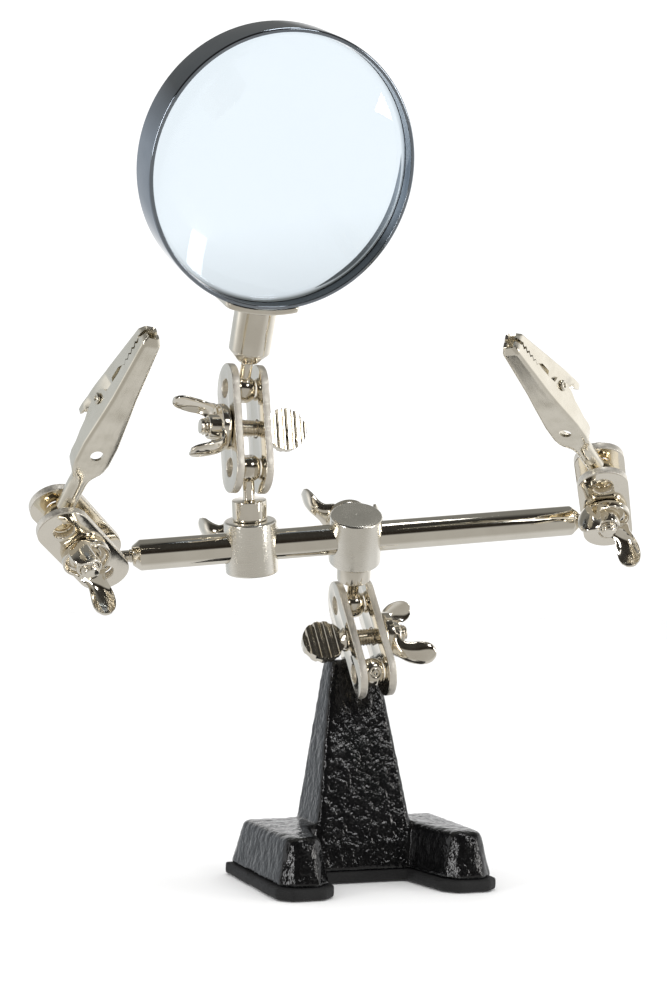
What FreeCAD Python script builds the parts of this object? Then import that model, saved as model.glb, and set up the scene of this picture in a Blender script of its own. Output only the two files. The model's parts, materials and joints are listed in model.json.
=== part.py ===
"""Helping hands: a cast base, a crossbar on ball clamps, two crocodile clips and a magnifier.

Lengths are millimetres. +Z is up, the front of the base faces -Y, and the origin is the middle of
the base's footprint on the bench. Each piece is drawn in the frame of the joint it belongs to, and
its Placement then puts that frame where the chain of ball clamps holds it.
"""
import FreeCAD, Part
import Sketcher
import math
import os

Vector = FreeCAD.Vector

DIMENSIONS = {
    # base
    "BaseRearWidth": 53.9, "BaseFrontWidth": 51.8, "BaseDepth": 37.7, "BasePadThickness": 2.6,
    "BasePadCorner": 3.0, "BasePadLip": 0.9, "BaseFootHeight": 10.2, "BaseDraft": 11.0,
    "BaseGapFront": 25.2, "BaseGapRear": 20.0, "BaseWebDepth": 20.2, "BaseEdgeRound": 1.3,
    "ColumnWidthLow": 23.0, "ColumnWidthHigh": 11.6, "ColumnDepthLow": 16.6, "ColumnDepthHigh": 6.6,
    "ColumnTop": 49.6, "ColumnRearLow": 1.6, "ColumnRearHigh": 3.0, "ColumnShift": 1.0,
    # ball studs
    "BallRadius": 3.25, "BallNeckRadius": 1.35, "BallFlatAngle": 57.0, "StudShankRadius": 2.0,
    "StudRunningGap": 0.05, "BaseBallHeight": 47.3, "BaseBallForward": 0.97, "BaseStudNeck": 8.2,
    "BaseStudLength": 15.0,
    # ball clamp
    "ClampPitch": 18.6, "ClampGap": 5.0, "PlateThickness": 1.8, "PlateWidth": 11.4,
    "SeatRadius": 2.2, "ScrewHoleRadius": 2.15, "PlateChamfer": 0.3,
    "ScrewRadius": 1.95, "ThreadPitch": 0.7, "ThreadDepth": 0.35, "ScrewEnd": 10.7,
    "PaddleRadius": 4.9, "PaddleThickness": 2.4, "PaddleRibDepth": 0.45, "PaddleStandOff": 1.4,
    # butterfly of the wing nuts and wing screws
    "WingDishRadius": 5.3, "WingDishHeight": 2.3, "WingBossRadius": 3.0, "WingBossHeight": 6.0,
    "WingReach": 10.0, "WingHeight": 11.0, "WingWidth": 7.2, "WingThickness": 1.1,
    "WingClearance": 0.12, "NutBoreRadius": 2.02,
    # crossbar and the two bodies on it
    "BarRadius": 3.5, "BarLeft": 49.3, "BarRight": 51.9, "BarCone": 1.8, "BarConeTip": 2.1,
    "BarBallReach": 9.0, "BarSpigot": 4.5, "BoreGap": 0.05,
    "CarrierRadius": 6.0, "CarrierHalfHeight": 6.1, "CollarRadius": 3.95, "CollarTop": 10.8,
    "CarrierBallReach": 18.0, "SliderOffset": 24.2, "CarrierSpigot": 2.1, "CarrierEdge": 0.35,
    # magnifier
    "RingRadius": 30.2, "RingWall": 0.9, "RingWidth": 9.6, "RingLip": 0.7, "RingReach": 50.4,
    "LensRadius": 29.2, "LensEdge": 2.2, "LensSag": 2.6, "LensPlane": -0.6, "SaddleThickness": 1.2,
    "SaddleWidth": 17.4, "HandleRadius": 4.7, "HandleStart": 9.3, "HandleConeStart": 6.6,
    "HandleConeTip": 2.2, "HandleSpigot": 4.0,
    # crocodile clip
    "ClipTail": 3.4, "ClipBarrelEnd": 11.0, "ClipBarrelRadius": 2.4, "ClipShoulder": 18.0,
    "ClipPivot": 31.5, "ClipLength": 51.5, "ClipHalfWidth": 3.9, "ClipTipHalfWidth": 1.9,
    "ClipSheet": 0.7, "ClipBackHeight": 2.4, "ClipPivotDepth": 2.6, "ClipHoleRadius": 1.35,
    "ClipHoleHeight": 20.5, "RivetRadius": 0.8, "RivetHeadRadius": 1.6, "JawGap": 0.15,
    "ToothPitch": 1.5, "ToothDepth": 0.7, "SpringWire": 0.28, "SpringRadius": 1.18,
}

# The way each link points at rest, as (turn about +Z from +X, rise above level), in degrees.
DIRECTIONS = {
    "LowerClampAlong": (95.4, 55.8), "LowerClampPinch": (-4.7, 6.7),
    "CrossClampUp": (-108.3, 57.6), "BarAlong": (-8.9, 5.9), "SliderUp": (-120.4, 74.2),
    "MagnifierClampAlong": (94.8, 77.7), "MagnifierClampPinch": (-178.5, -0.7),
    "HandleUp": (-90.1, 63.1), "LensFront": (-84.1, -28.0),
    "LeftClampAlong": (-133.0, 27.0), "LeftClampPinch": (-78.2, -48.5),
    "LeftClipAlong": (-74.6, 41.5), "LeftClipBack": (-81.8, -38.7),
    "RightClampAlong": (-124.4, 30.7), "RightClampPinch": (-106.2, -58.0),
    "RightClipAlong": (-143.6, 26.4), "RightClipBack": (-136.3, -63.3),
}

# How far each butterfly is turned from its zero line, in degrees.
WING_ANGLES = {
    "LowerWingAngle": 27.0, "MagnifierWingAngle": -33.0, "LeftWingAngle": 15.0,
    "RightWingAngle": -25.0, "CrossWingAngle": -16.0, "SliderWingAngle": -8.0,
}

doc = FreeCAD.newDocument("HelpingHands")
sheet = doc.addObject("Spreadsheet::Sheet", "Sizes")


def fill_sheet():
    """Write every driving number into the sheet, one row each, with its alias."""
    rows = dict(DIMENSIONS)
    rows.update(WING_ANGLES)
    for name, (turn, rise) in DIRECTIONS.items():
        rows[name + "Turn"] = turn
        rows[name + "Rise"] = rise
    for number, (name, value) in enumerate(rows.items(), start=1):
        sheet.set(f"A{number}", name)
        sheet.set(f"B{number}", str(value))
        sheet.setAlias(f"B{number}", name)
    doc.recompute()


fill_sheet()


class Size:
    """A number read from the sheet, together with the formula that gives it."""

    def __init__(self, number, formula):
        self.number = number
        self.formula = formula

    def _join(self, other, sign, number):
        right = other.formula if isinstance(other, Size) else f"{other}"
        return Size(number, f"({self.formula} {sign} {right})")

    def __add__(self, other):
        return self._join(other, "+", self.number + plain(other))

    def __sub__(self, other):
        return self._join(other, "-", self.number - plain(other))

    def __mul__(self, factor):
        return self._join(factor, "*", self.number * plain(factor))

    def __neg__(self):
        return self * -1


def plain(value):
    """The bare number of a Size, or the number itself."""
    return value.number if isinstance(value, Size) else value


def size(name):
    """The sheet cell with this alias, as a Size."""
    return Size(float(getattr(sheet, name)), f"Sizes.{name}")


def num(name):
    """The sheet cell with this alias, as a bare number for Part's own functions."""
    return float(getattr(sheet, name))


def bind(thing, **properties):
    """Give properties their values and tie each one to its formula in the sheet."""
    for name, value in properties.items():
        setattr(thing, name, plain(value))
        if isinstance(value, Size):
            thing.setExpression(name, value.formula)


def bind_place(thing, x=0, y=0, z=0):
    """Put a primitive's own corner or centre at x, y, z, tied to the sheet."""
    thing.Placement.Base = Vector(plain(x), plain(y), plain(z))
    for axis, value in zip("xyz", (x, y, z)):
        if isinstance(value, Size):
            thing.setExpression(f".Placement.Base.{axis}", value.formula)


# --- frames ---------------------------------------------------------------------------------


def direction(name):
    """Unit vector of a link from its turn and rise."""
    turn = math.radians(num(name + "Turn"))
    rise = math.radians(num(name + "Rise"))
    return Vector(math.cos(rise) * math.cos(turn), math.cos(rise) * math.sin(turn), math.sin(rise))


def frame(origin, up, across):
    """A frame whose Z is exactly up and whose X is as near to across as it can be."""
    turn = FreeCAD.Rotation(across, up.cross(across), up, "ZXY")
    return FreeCAD.Placement(origin, turn)


def point_in(place, x, y, z):
    """A point given in a frame's own coordinates, in the object's coordinates."""
    return place.multVec(Vector(x, y, z))


BASE = FreeCAD.Placement()
FORWARD = Vector(0, -1, 0)
SIDEWAYS = Vector(1, 0, 0)
LEVEL = Vector(0, 0, 1)


def clamp_frame(ball, along, pinch):
    """Frame of a ball clamp: middle of its screw, Z from one ball to the other, X to the nut."""
    up = direction(along)
    middle = ball + up * (num("ClampPitch") / 2)
    return frame(middle, up, direction(pinch))


def far_ball(place):
    return point_in(place, 0, 0, num("ClampPitch") / 2)


base_ball = Vector(num("ColumnShift"), -num("BaseBallForward"), num("BaseBallHeight"))
BASE_STUD = frame(base_ball, FORWARD, SIDEWAYS)
LOWER_CLAMP = clamp_frame(base_ball, "LowerClampAlong", "LowerClampPinch")
cross_up = direction("CrossClampUp")
cross_centre = far_ball(LOWER_CLAMP) + cross_up * num("CarrierBallReach")
CROSS_CLAMP = frame(cross_centre, cross_up, direction("BarAlong"))
bar_along = CROSS_CLAMP.Rotation.multVec(SIDEWAYS)
BAR = frame(cross_centre, bar_along, LEVEL)
slider_centre = cross_centre - bar_along * num("SliderOffset")
slider_turn = FreeCAD.Rotation(bar_along * -1, Vector(), direction("SliderUp") * -1, "XZY")
SLIDER = FreeCAD.Placement(slider_centre, slider_turn)
slider_ball = point_in(SLIDER, 0, 0, -num("CarrierBallReach"))
MAGNIFIER_CLAMP = clamp_frame(slider_ball, "MagnifierClampAlong", "MagnifierClampPinch")
handle_turn = FreeCAD.Rotation(Vector(), direction("LensFront") * -1, direction("HandleUp"), "ZYX")
MAGNIFIER = FreeCAD.Placement(far_ball(MAGNIFIER_CLAMP), handle_turn)
bar_left_ball = cross_centre - bar_along * (num("BarLeft") + num("BarBallReach"))
bar_right_ball = cross_centre + bar_along * (num("BarRight") + num("BarBallReach"))
LEFT_BALL = frame(bar_left_ball, bar_along * -1, LEVEL)
RIGHT_BALL = frame(bar_right_ball, bar_along, LEVEL)
LEFT_CLAMP = clamp_frame(bar_left_ball, "LeftClampAlong", "LeftClampPinch")
RIGHT_CLAMP = clamp_frame(bar_right_ball, "RightClampAlong", "RightClampPinch")


def clip_frame(ball, along, back):
    """Frame of a clip: its ball, Z to the tips, +Y out of the flat back of the fixed jaw."""
    return FreeCAD.Placement(ball, FreeCAD.Rotation(Vector(), direction(back), direction(along), "ZYX"))


LEFT_CLIP = clip_frame(far_ball(LEFT_CLAMP), "LeftClipAlong", "LeftClipBack")
RIGHT_CLIP = clip_frame(far_ball(RIGHT_CLAMP), "RightClipAlong", "RightClipBack")

# --- building blocks ------------------------------------------------------------------------

nodes = []


def keep(thing, name, place):
    """Name a finished sub-part, place it, and list it as one of the object's nodes."""
    thing.Label = name
    thing.Placement = place
    nodes.append(thing)
    return thing


def primitive(kind, name, x=0, y=0, z=0, **sizes):
    """One Part primitive, with its sizes and place tied to the sheet."""
    thing = doc.addObject(f"Part::{kind}", name)
    bind(thing, **sizes)
    bind_place(thing, x, y, z)
    return thing


def cylinder(name, radius, low, high):
    """A cylinder about Z from low to high."""
    return primitive("Cylinder", name, z=low, Radius=radius, Height=high - low)


def cone(name, radius_low, radius_high, low, high):
    """A cone about Z from low to high."""
    return primitive("Cone", name, z=low, Radius1=radius_low, Radius2=radius_high, Height=high - low)


def fuse(name, *pieces):
    joined = doc.addObject("Part::MultiFuse", name)
    joined.Shapes = list(pieces)
    joined.Refine = True
    return joined


def cut(name, base, tool):
    removed = doc.addObject("Part::Cut", name)
    removed.Base = base
    removed.Tool = tool
    return removed


def feature(name, shape, place):
    """A node whose solid comes from Part's own functions."""
    thing = doc.addObject("Part::Feature", name)
    thing.Shape = shape
    return keep(thing, name, place)


def origin_plane(body, role):
    return next(item for item in body.Origin.OriginFeatures if item.Role == role)


def sketch_on(body, name, role, offset=None):
    """A sketch on one of its body's own origin planes, lifted by offset."""
    sketch = body.newObject("Sketcher::SketchObject", name)
    sketch.AttachmentSupport = [(origin_plane(body, role), "")]
    sketch.MapMode = "FlatFace"
    if offset is not None:
        sketch.AttachmentOffset.Base.z = plain(offset)
        sketch.setExpression(".AttachmentOffset.Base.z", offset.formula)
    return sketch


def sketch_polygon(sketch, corners):
    """A closed outline whose corners are tied to the sheet by their distances from the origin."""
    points = [Vector(plain(x), plain(y), 0) for x, y in corners]
    first = sketch.GeometryCount
    count = len(points)
    for index, start in enumerate(points):
        sketch.addGeometry(Part.LineSegment(start, points[(index + 1) % count]), False)
    for index in range(count):
        follower = first + (index + 1) % count
        sketch.addConstraint(Sketcher.Constraint("Coincident", first + index, 2, follower, 1))
    for index, corner in enumerate(corners):
        for kind, value in zip(("DistanceX", "DistanceY"), corner):
            limit = Sketcher.Constraint(kind, -1, 1, first + index, 1, plain(value))
            place = sketch.addConstraint(limit)
            if isinstance(value, Size):
                sketch.setExpression(f"Constraints[{place}]", value.formula)


def sketch_circle(sketch, x, y, radius):
    """A circle whose centre and radius are tied to the sheet."""
    index = sketch.GeometryCount
    centre = Vector(plain(x), plain(y), 0)
    sketch.addGeometry(Part.Circle(centre, Vector(0, 0, 1), plain(radius)), False)
    limits = (("DistanceX", (-1, 1, index, 3), x), ("DistanceY", (-1, 1, index, 3), y),
              ("Radius", (index,), radius))
    for kind, target, value in limits:
        place = sketch.addConstraint(Sketcher.Constraint(kind, *target, plain(value)))
        if isinstance(value, Size):
            sketch.setExpression(f"Constraints[{place}]", value.formula)


def pad(body, name, sketch, length, taper=None, midplane=False):
    added = body.newObject("PartDesign::Pad", name)
    added.Profile = sketch
    bind(added, Length=length)
    added.Midplane = midplane
    if taper is not None:
        bind(added, TaperAngle=taper)
    return added


# --- base -----------------------------------------------------------------------------------


def foot_outline(inset):
    """Corners of the U of the base seen from above, drawn in by inset, open to the front."""
    rear = size("BaseRearWidth") * 0.5 - inset
    front = size("BaseFrontWidth") * 0.5 - inset
    gap_front = size("BaseGapFront") * 0.5 + inset
    gap_rear = size("BaseGapRear") * 0.5 + inset
    back = size("BaseDepth") * 0.5 - inset
    web = size("BaseDepth") * 0.5 - size("BaseWebDepth") + inset
    nose = size("BaseDepth") * -0.5 + inset
    corner = size("BasePadCorner")
    return [(-rear, back), (-front, nose + corner), (-front + corner, nose),
            (-gap_front - corner, nose), (-gap_front, nose + corner), (-gap_rear, web),
            (gap_rear, web), (gap_front, nose + corner), (gap_front + corner, nose),
            (front - corner, nose), (front, nose + corner), (rear, back)]


def make_pad():
    body = doc.addObject("PartDesign::Body", "PadBody")
    sketch = sketch_on(body, "PadOutline", "XY_Plane")
    sketch_polygon(sketch, foot_outline(Size(0.0, "0")))
    pad(body, "PadSheet", sketch, size("BasePadThickness"))
    keep(body, "base_pad", BASE)


def column_outline(width, depth, rear):
    """Four corners of the column at one height; rear is its back face behind the base's middle."""
    back = size("BaseDepth") * 0.5 - rear
    half = width * 0.5
    shift = size("ColumnShift")
    return [(shift - half, back), (shift - half, back - depth),
            (shift + half, back - depth), (shift + half, back)]


def make_casting():
    body = doc.addObject("PartDesign::Body", "CastingBody")
    thickness = size("BasePadThickness")
    feet_top = num("BasePadThickness") + num("BaseFootHeight")
    outline = sketch_on(body, "FeetOutline", "XY_Plane", thickness)
    sketch_polygon(outline, foot_outline(size("BasePadLip")))
    feet = pad(body, "Feet", outline, size("BaseFootHeight"), taper=-size("BaseDraft"))
    doc.recompute()
    round_edges(body, "FeetRounded", feet, outer_edges(feet.Shape, feet_top - 1, 1.5))
    low = sketch_on(body, "ColumnFoot", "XY_Plane", thickness)
    low_width = size("ColumnWidthLow") + 3.0
    low_depth = size("ColumnDepthLow") + 1.8
    sketch_polygon(low, column_outline(low_width, low_depth, size("ColumnRearLow")))
    high = sketch_on(body, "ColumnHead", "XY_Plane", size("ColumnTop"))
    sketch_polygon(high, column_outline(size("ColumnWidthHigh"), size("ColumnDepthHigh"),
                                        size("ColumnRearHigh")))
    column = body.newObject("PartDesign::AdditiveLoft", "Column")
    column.Profile = low
    column.Sections = [high]
    column.Ruled = True
    doc.recompute()
    round_edges(body, "ColumnRounded", column, outer_edges(column.Shape, feet_top + 5, 5.0))
    doc.recompute()
    socket_outline = sketch_on(body, "StudSocketOutline", "XZ_Plane")
    sketch_circle(socket_outline, size("ColumnShift"), size("BaseBallHeight"),
                  size("StudShankRadius") + size("StudRunningGap"))
    socket = body.newObject("PartDesign::Pocket", "StudSocket")
    socket.Profile = socket_outline
    socket.Midplane = True
    bind(socket, Length=(size("BaseStudLength") - size("BaseBallForward")) * 2 + 0.4)
    keep(body, "base_casting", BASE)


def outer_edges(shape, height, shortest):
    """Names of a solid's edges that reach above height and are longer than shortest."""
    return [f"Edge{index}" for index, edge in enumerate(shape.Edges, start=1)
            if edge.BoundBox.ZMax > height and edge.Length > shortest]


def round_edges(body, name, base, edges):
    rounded = body.newObject("PartDesign::Fillet", name)
    rounded.Base = (base, edges)
    bind(rounded, Radius=size("BaseEdgeRound"))


# --- ball studs -----------------------------------------------------------------------------


def stud_ball(name):
    """A ball about the origin, faced off on its far side (-Z) where the lathe parted it."""
    return primitive("Sphere", name, Radius=size("BallRadius"), Angle1=-size("BallFlatAngle"))


def ball_stud(name, place, sections):
    """A turned stud: the ball at the origin, then (radius, low, high) lengths along +Z."""
    neck_start = size("BallRadius") * 0.8
    pieces = [stud_ball(name + "Ball")]
    low = neck_start
    for index, (radius, high) in enumerate(sections):
        pieces.append(cylinder(f"{name}Length{index}", radius, low, high))
        low = high
    return keep(fuse(name, *pieces), name, place)


def facing(place, turn_axis, degrees):
    """The same frame turned about one of its own axes."""
    turn = FreeCAD.Placement(Vector(), FreeCAD.Rotation(turn_axis, degrees))
    return place.multiply(turn)


def make_studs():
    neck = size("BallNeckRadius")
    shank = size("StudShankRadius")
    collar_low = size("CarrierBallReach") - size("CollarTop")
    collar_high = size("CarrierBallReach") - size("CarrierHalfHeight") - 0.1
    spigot_high = collar_high + size("CarrierSpigot")
    rearward = facing(BASE_STUD, SIDEWAYS, 180)
    ball_stud("base_ball_stud", rearward, [(neck, size("BaseStudNeck")), (shank, size("BaseStudLength"))])
    carrier = [(neck, collar_low), (size("CollarRadius"), collar_high), (shank, spigot_high)]
    ball_stud("cross_clamp_ball_stud", CROSS_CLAMP.multiply(lifted(-num("CarrierBallReach"))),
              carrier)
    ball_stud("slider_ball_stud", SLIDER.multiply(lifted(-num("CarrierBallReach"))), carrier)
    bead_low = size("BarBallReach") - size("BarCone") - 0.55
    bead_high = bead_low + 0.5
    bar_end = [(neck, bead_low), (size("BarConeTip") - 0.6, bead_high),
               (neck, size("BarBallReach") + size("BarSpigot"))]
    ball_stud("crossbar_left_ball", facing(LEFT_BALL, SIDEWAYS, 180), bar_end)
    ball_stud("crossbar_right_ball", facing(RIGHT_BALL, SIDEWAYS, 180), bar_end)
    ball_stud("magnifier_ball_stud", MAGNIFIER,
              [(neck, size("HandleConeStart") + size("HandleSpigot"))])
    for side, place in (("left", LEFT_CLIP), ("right", RIGHT_CLIP)):
        ball_stud(f"{side}_clip_ball_stud", place, [(neck, size("ClipBarrelEnd") - 0.6)])


def lifted(height):
    """A plain shift along Z."""
    return FreeCAD.Placement(Vector(0, 0, height), FreeCAD.Rotation())


# --- ball clamps ----------------------------------------------------------------------------


def make_plate(name, place, inner_face, outer_face):
    """One clamp plate: an obround with two ball seats and the screw's hole."""
    body = doc.addObject("PartDesign::Body", name + "Body")
    half_pitch = size("ClampPitch") * 0.5
    half_width = size("PlateWidth") * 0.5
    middle = sketch_on(body, name + "Middle", "YZ_Plane", inner_face)
    sketch_polygon(middle, [(-half_width, -half_pitch), (half_width, -half_pitch),
                            (half_width, half_pitch), (-half_width, half_pitch)])
    pad(body, name + "Bar", middle, size("PlateThickness"))
    ends = sketch_on(body, name + "Ends", "YZ_Plane", inner_face)
    sketch_circle(ends, 0, half_pitch, half_width)
    sketch_circle(ends, 0, -half_pitch, half_width)
    pad(body, name + "Round", ends, size("PlateThickness"))
    holes = sketch_on(body, name + "Holes", "YZ_Plane", inner_face)
    sketch_circle(holes, 0, half_pitch, size("SeatRadius"))
    sketch_circle(holes, 0, -half_pitch, size("SeatRadius"))
    sketch_circle(holes, 0, 0, size("ScrewHoleRadius"))
    drilled = body.newObject("PartDesign::Pocket", name + "Drilled")
    drilled.Profile = holes
    drilled.Type = 1
    drilled.Midplane = True
    doc.recompute()
    outline = [f"Edge{index}" for index, edge in enumerate(drilled.Shape.Edges, start=1)
               if abs(edge.BoundBox.Center.x - outer_face) < 0.01 and edge.BoundBox.XLength < 0.01]
    eased = body.newObject("PartDesign::Chamfer", name + "Eased")
    eased.Base = (drilled, outline)
    bind(eased, Size=size("PlateChamfer"))
    keep(body, name, place)


def threaded_rod(low, high):
    """A screw thread about X, drawn as rings of the thread's own pitch and depth."""
    radius = num("ScrewRadius")
    root = radius - num("ThreadDepth")
    pitch = num("ThreadPitch")
    rings = int((high - low - pitch) / pitch)
    start = high - 0.3 - rings * pitch
    profile = [Vector(low, 0, 0), Vector(low, 0, radius), Vector(start, 0, radius)]
    for ring in range(rings):
        x = start + ring * pitch
        profile.append(Vector(x + pitch * 0.45, 0, root))
        profile.append(Vector(x + pitch * 0.9, 0, radius))
        profile.append(Vector(x + pitch, 0, radius))
    profile.append(Vector(high, 0, root))
    profile.append(Vector(high, 0, 0))
    profile.append(profile[0])
    outline = Part.Face(Part.makePolygon(profile))
    return outline.revolve(Vector(), Vector(1, 0, 0), 360)


def paddle_head(shoulder):
    """The thumbscrew's round paddle: a disc in line with the screw, ribbed on both faces."""
    radius = num("PaddleRadius")
    thickness = num("PaddleThickness")
    stand_off = num("PaddleStandOff")
    centre = shoulder - stand_off - radius + 0.5
    disc = Part.makeCylinder(radius, thickness, Vector(centre, -thickness / 2, 0), Vector(0, 1, 0))
    disc = disc.makeChamfer(0.3, [edge for edge in disc.Edges if edge.Length > 2 * radius])
    depth = num("PaddleRibDepth")
    groove_width = 1.15
    groove_pitch = 2.15
    groove_low = -4.6
    for index in range(4):
        x = centre + groove_low + groove_pitch * index
        for y in (-thickness / 2, thickness / 2 - depth):
            groove = Part.makeBox(groove_width, depth, 2 * radius, Vector(x, y, -radius))
            disc = disc.cut(groove)
    neck = Part.makeCone(2.9, 1.9, stand_off, Vector(shoulder, 0, 0), Vector(-1, 0, 0))
    return disc.fuse(neck).removeSplitter()


def make_thumbscrew(name, place):
    shoulder = -(num("ClampGap") / 2 + num("PlateThickness") + num("WingClearance"))
    screw = threaded_rod(shoulder, num("ScrewEnd")).fuse(paddle_head(shoulder))
    feature(name, screw.removeSplitter(), place)


def wing_leaf():
    """One swept-back leaf of a stamped butterfly, in the +Z half of the XZ plane, base at x = 0."""
    reach = num("WingReach")
    height = num("WingHeight")
    thick = num("WingThickness")
    root = num("WingDishRadius") - 1.3
    lower = Part.Arc(Vector(0.5, 0, root), Vector(height * 0.36, 0, reach * 0.86),
                     Vector(height, 0, reach + 0.5)).toShape()
    upper = Part.Arc(Vector(0.5 + thick * 0.9, 0, root - thick * 0.4),
                     Vector(height * 0.36 + thick * 0.55, 0, reach * 0.86 - thick * 0.85),
                     Vector(height, 0, reach + 0.5 - thick)).toShape()
    tip = Part.makeLine(Vector(height, 0, reach + 0.5), Vector(height, 0, reach + 0.5 - thick))
    heel = Part.makeLine(Vector(0.5 + thick * 0.9, 0, root - thick * 0.4), Vector(0.5, 0, root))
    outline = Part.Face(Part.Wire(Part.__sortEdges__([lower, tip, upper, heel])))
    half = num("WingWidth") / 2
    leaf = outline.extrude(Vector(0, 2 * half, 0))
    leaf.translate(Vector(0, -half, 0))
    stem = Part.makeBox(height - half, 2 * half, 2 * reach, Vector(0, -half, 0))
    round_tip = Part.makeCylinder(half, 2 * reach, Vector(height - half, 0, 0), Vector(0, 0, 1))
    return leaf.common(stem.fuse(round_tip))


def butterfly():
    """A stamped butterfly head about X: a cupped dish, its boss, and two leaves."""
    dish_radius = num("WingDishRadius")
    dish_height = num("WingDishHeight")
    thick = num("WingThickness")
    profile = [Vector(0, 0, 0), Vector(0, 0, dish_radius - 0.7), Vector(0.5, 0, dish_radius),
               Vector(dish_height, 0, dish_radius), Vector(dish_height, 0, dish_radius - 0.8),
               Vector(thick, 0, dish_radius - 1.5), Vector(thick, 0, 0), Vector(0, 0, 0)]
    dish = Part.Face(Part.makePolygon(profile)).revolve(Vector(), Vector(1, 0, 0), 360)
    boss_radius = num("WingBossRadius")
    boss_height = num("WingBossHeight")
    boss = Part.makeCone(boss_radius + 0.25, boss_radius - 0.15, boss_height, Vector(),
                         Vector(1, 0, 0))
    leaf = wing_leaf()
    other = leaf.copy()
    other.rotate(Vector(), Vector(1, 0, 0), 180)
    return dish.multiFuse([boss, leaf, other])


def turned_wings(place, angle_name, start):
    """The frame of a butterfly: lifted off its seat and turned about the screw."""
    seat = FreeCAD.Placement(Vector(start, 0, 0), FreeCAD.Rotation(SIDEWAYS, -num(angle_name)))
    return place.multiply(seat)


def make_wing_nut(name, place, angle_name):
    seat = num("ClampGap") / 2 + num("PlateThickness") + num("WingClearance")
    bore = Part.makeCylinder(num("NutBoreRadius"), 20, Vector(-1, 0, 0), Vector(1, 0, 0))
    nut = butterfly().cut(bore).removeSplitter()
    feature(name, nut, turned_wings(place, angle_name, seat))


def make_wing_screw(name, place, angle_name):
    """A butterfly on a threaded shank that bears on the bar through the side of a carrier."""
    seat = num("CarrierRadius") + 0.5
    tip = num("BarRadius") + 0.1
    shank = threaded_rod(tip - seat, 0.5)
    head = butterfly().fuse(shank).removeSplitter()
    turn = FreeCAD.Rotation(Vector(0, 1, 0), Vector(), Vector(1, 0, 0), "XZY")
    feature(name, head, turned_wings(place.multiply(FreeCAD.Placement(Vector(), turn)),
                                     angle_name, seat))


def make_clamps():
    inner = size("ClampGap") * 0.5
    outer = inner + size("PlateThickness")
    clamps = (("lower", LOWER_CLAMP, "LowerWingAngle"),
              ("magnifier", MAGNIFIER_CLAMP, "MagnifierWingAngle"),
              ("left", LEFT_CLAMP, "LeftWingAngle"), ("right", RIGHT_CLAMP, "RightWingAngle"))
    for side, place, angle_name in clamps:
        make_plate(f"{side}_clamp_nut_plate", place, inner, outer.number)
        make_plate(f"{side}_clamp_head_plate", place, -outer, -outer.number)
        make_thumbscrew(f"{side}_clamp_thumbscrew", place)
        make_wing_nut(f"{side}_clamp_wing_nut", place, angle_name)


# --- crossbar and its two carriers ----------------------------------------------------------


def make_carrier(name, place):
    """A turned body with a cross bore for the bar, a socket for its stud and a screw hole."""
    half = size("CarrierHalfHeight")
    edge = size("CarrierEdge")
    radius = size("CarrierRadius")
    blank = fuse(name + "Blank", cylinder(name + "Drum", radius, -half + edge, half - edge),
                 cone(name + "Low", radius - edge, radius, -half, -half + edge),
                 cone(name + "High", radius, radius - edge, half - edge, half))
    bore = primitive("Cylinder", name + "Bore", x=-radius, Height=radius * 2,
                     Radius=size("BarRadius") + size("BoreGap"))
    bore.Placement.Rotation = FreeCAD.Rotation(Vector(0, 1, 0), 90)
    socket = cylinder(name + "Socket", size("StudShankRadius") + size("StudRunningGap"),
                      -half, size("CarrierSpigot") - half)
    tapped = cylinder(name + "Tapped", size("NutBoreRadius"), Size(0.0, "0"), radius * 1.2)
    tapped.Placement.Rotation = FreeCAD.Rotation(SIDEWAYS, -90)
    keep(cut(name, blank, fuse(name + "Holes", bore, socket, tapped)), name, place)


def make_bar():
    left = -size("BarLeft")
    right = size("BarRight")
    radius = size("BarRadius")
    tip = size("BarConeTip")
    rod = fuse("BarRod", cylinder("BarStraight", radius, left, right),
               cone("BarLeftCone", tip, radius, left - size("BarCone"), left),
               cone("BarRightCone", radius, tip, right, right + size("BarCone")))
    hole = size("BallNeckRadius") + size("StudRunningGap")
    depth = size("BarSpigot") + 0.3
    sockets = fuse("BarSockets", cylinder("BarLeftSocket", hole, left - size("BarCone"), left + depth),
                   cylinder("BarRightSocket", hole, right - depth, right + size("BarCone")))
    keep(cut("crossbar", rod, sockets), "crossbar", BAR)


def make_carriers():
    make_carrier("cross_clamp_body", CROSS_CLAMP)
    make_carrier("slider_body", SLIDER)
    make_wing_screw("cross_clamp_wing_screw", CROSS_CLAMP, "CrossWingAngle")
    make_wing_screw("slider_wing_screw", SLIDER, "SliderWingAngle")


# --- magnifier ------------------------------------------------------------------------------


def drum(name, radius, front, rear):
    """A cylinder about the lens axis, which lies along Y through the ring's centre."""
    shape = cylinder(name, radius, front, rear)
    shape.Placement.Rotation = FreeCAD.Rotation(SIDEWAYS, -90)
    bind_place(shape, y=front, z=size("RingReach"))
    return shape


def make_ring():
    """The chromed band that holds the lens, with a turned-in lip at the front."""
    half = size("RingWidth") * 0.5
    outer = size("RingRadius")
    inner = outer - size("RingWall")
    blank = drum("RingBlank", outer, -half, half)
    seat = drum("RingSeat", inner, -half + size("RingWall"), half)
    mouth = drum("RingMouth", inner - size("RingLip"), -half, half)
    keep(cut("lens_ring", blank, fuse("RingHollow", seat, mouth)), "lens_ring", MAGNIFIER)


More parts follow.
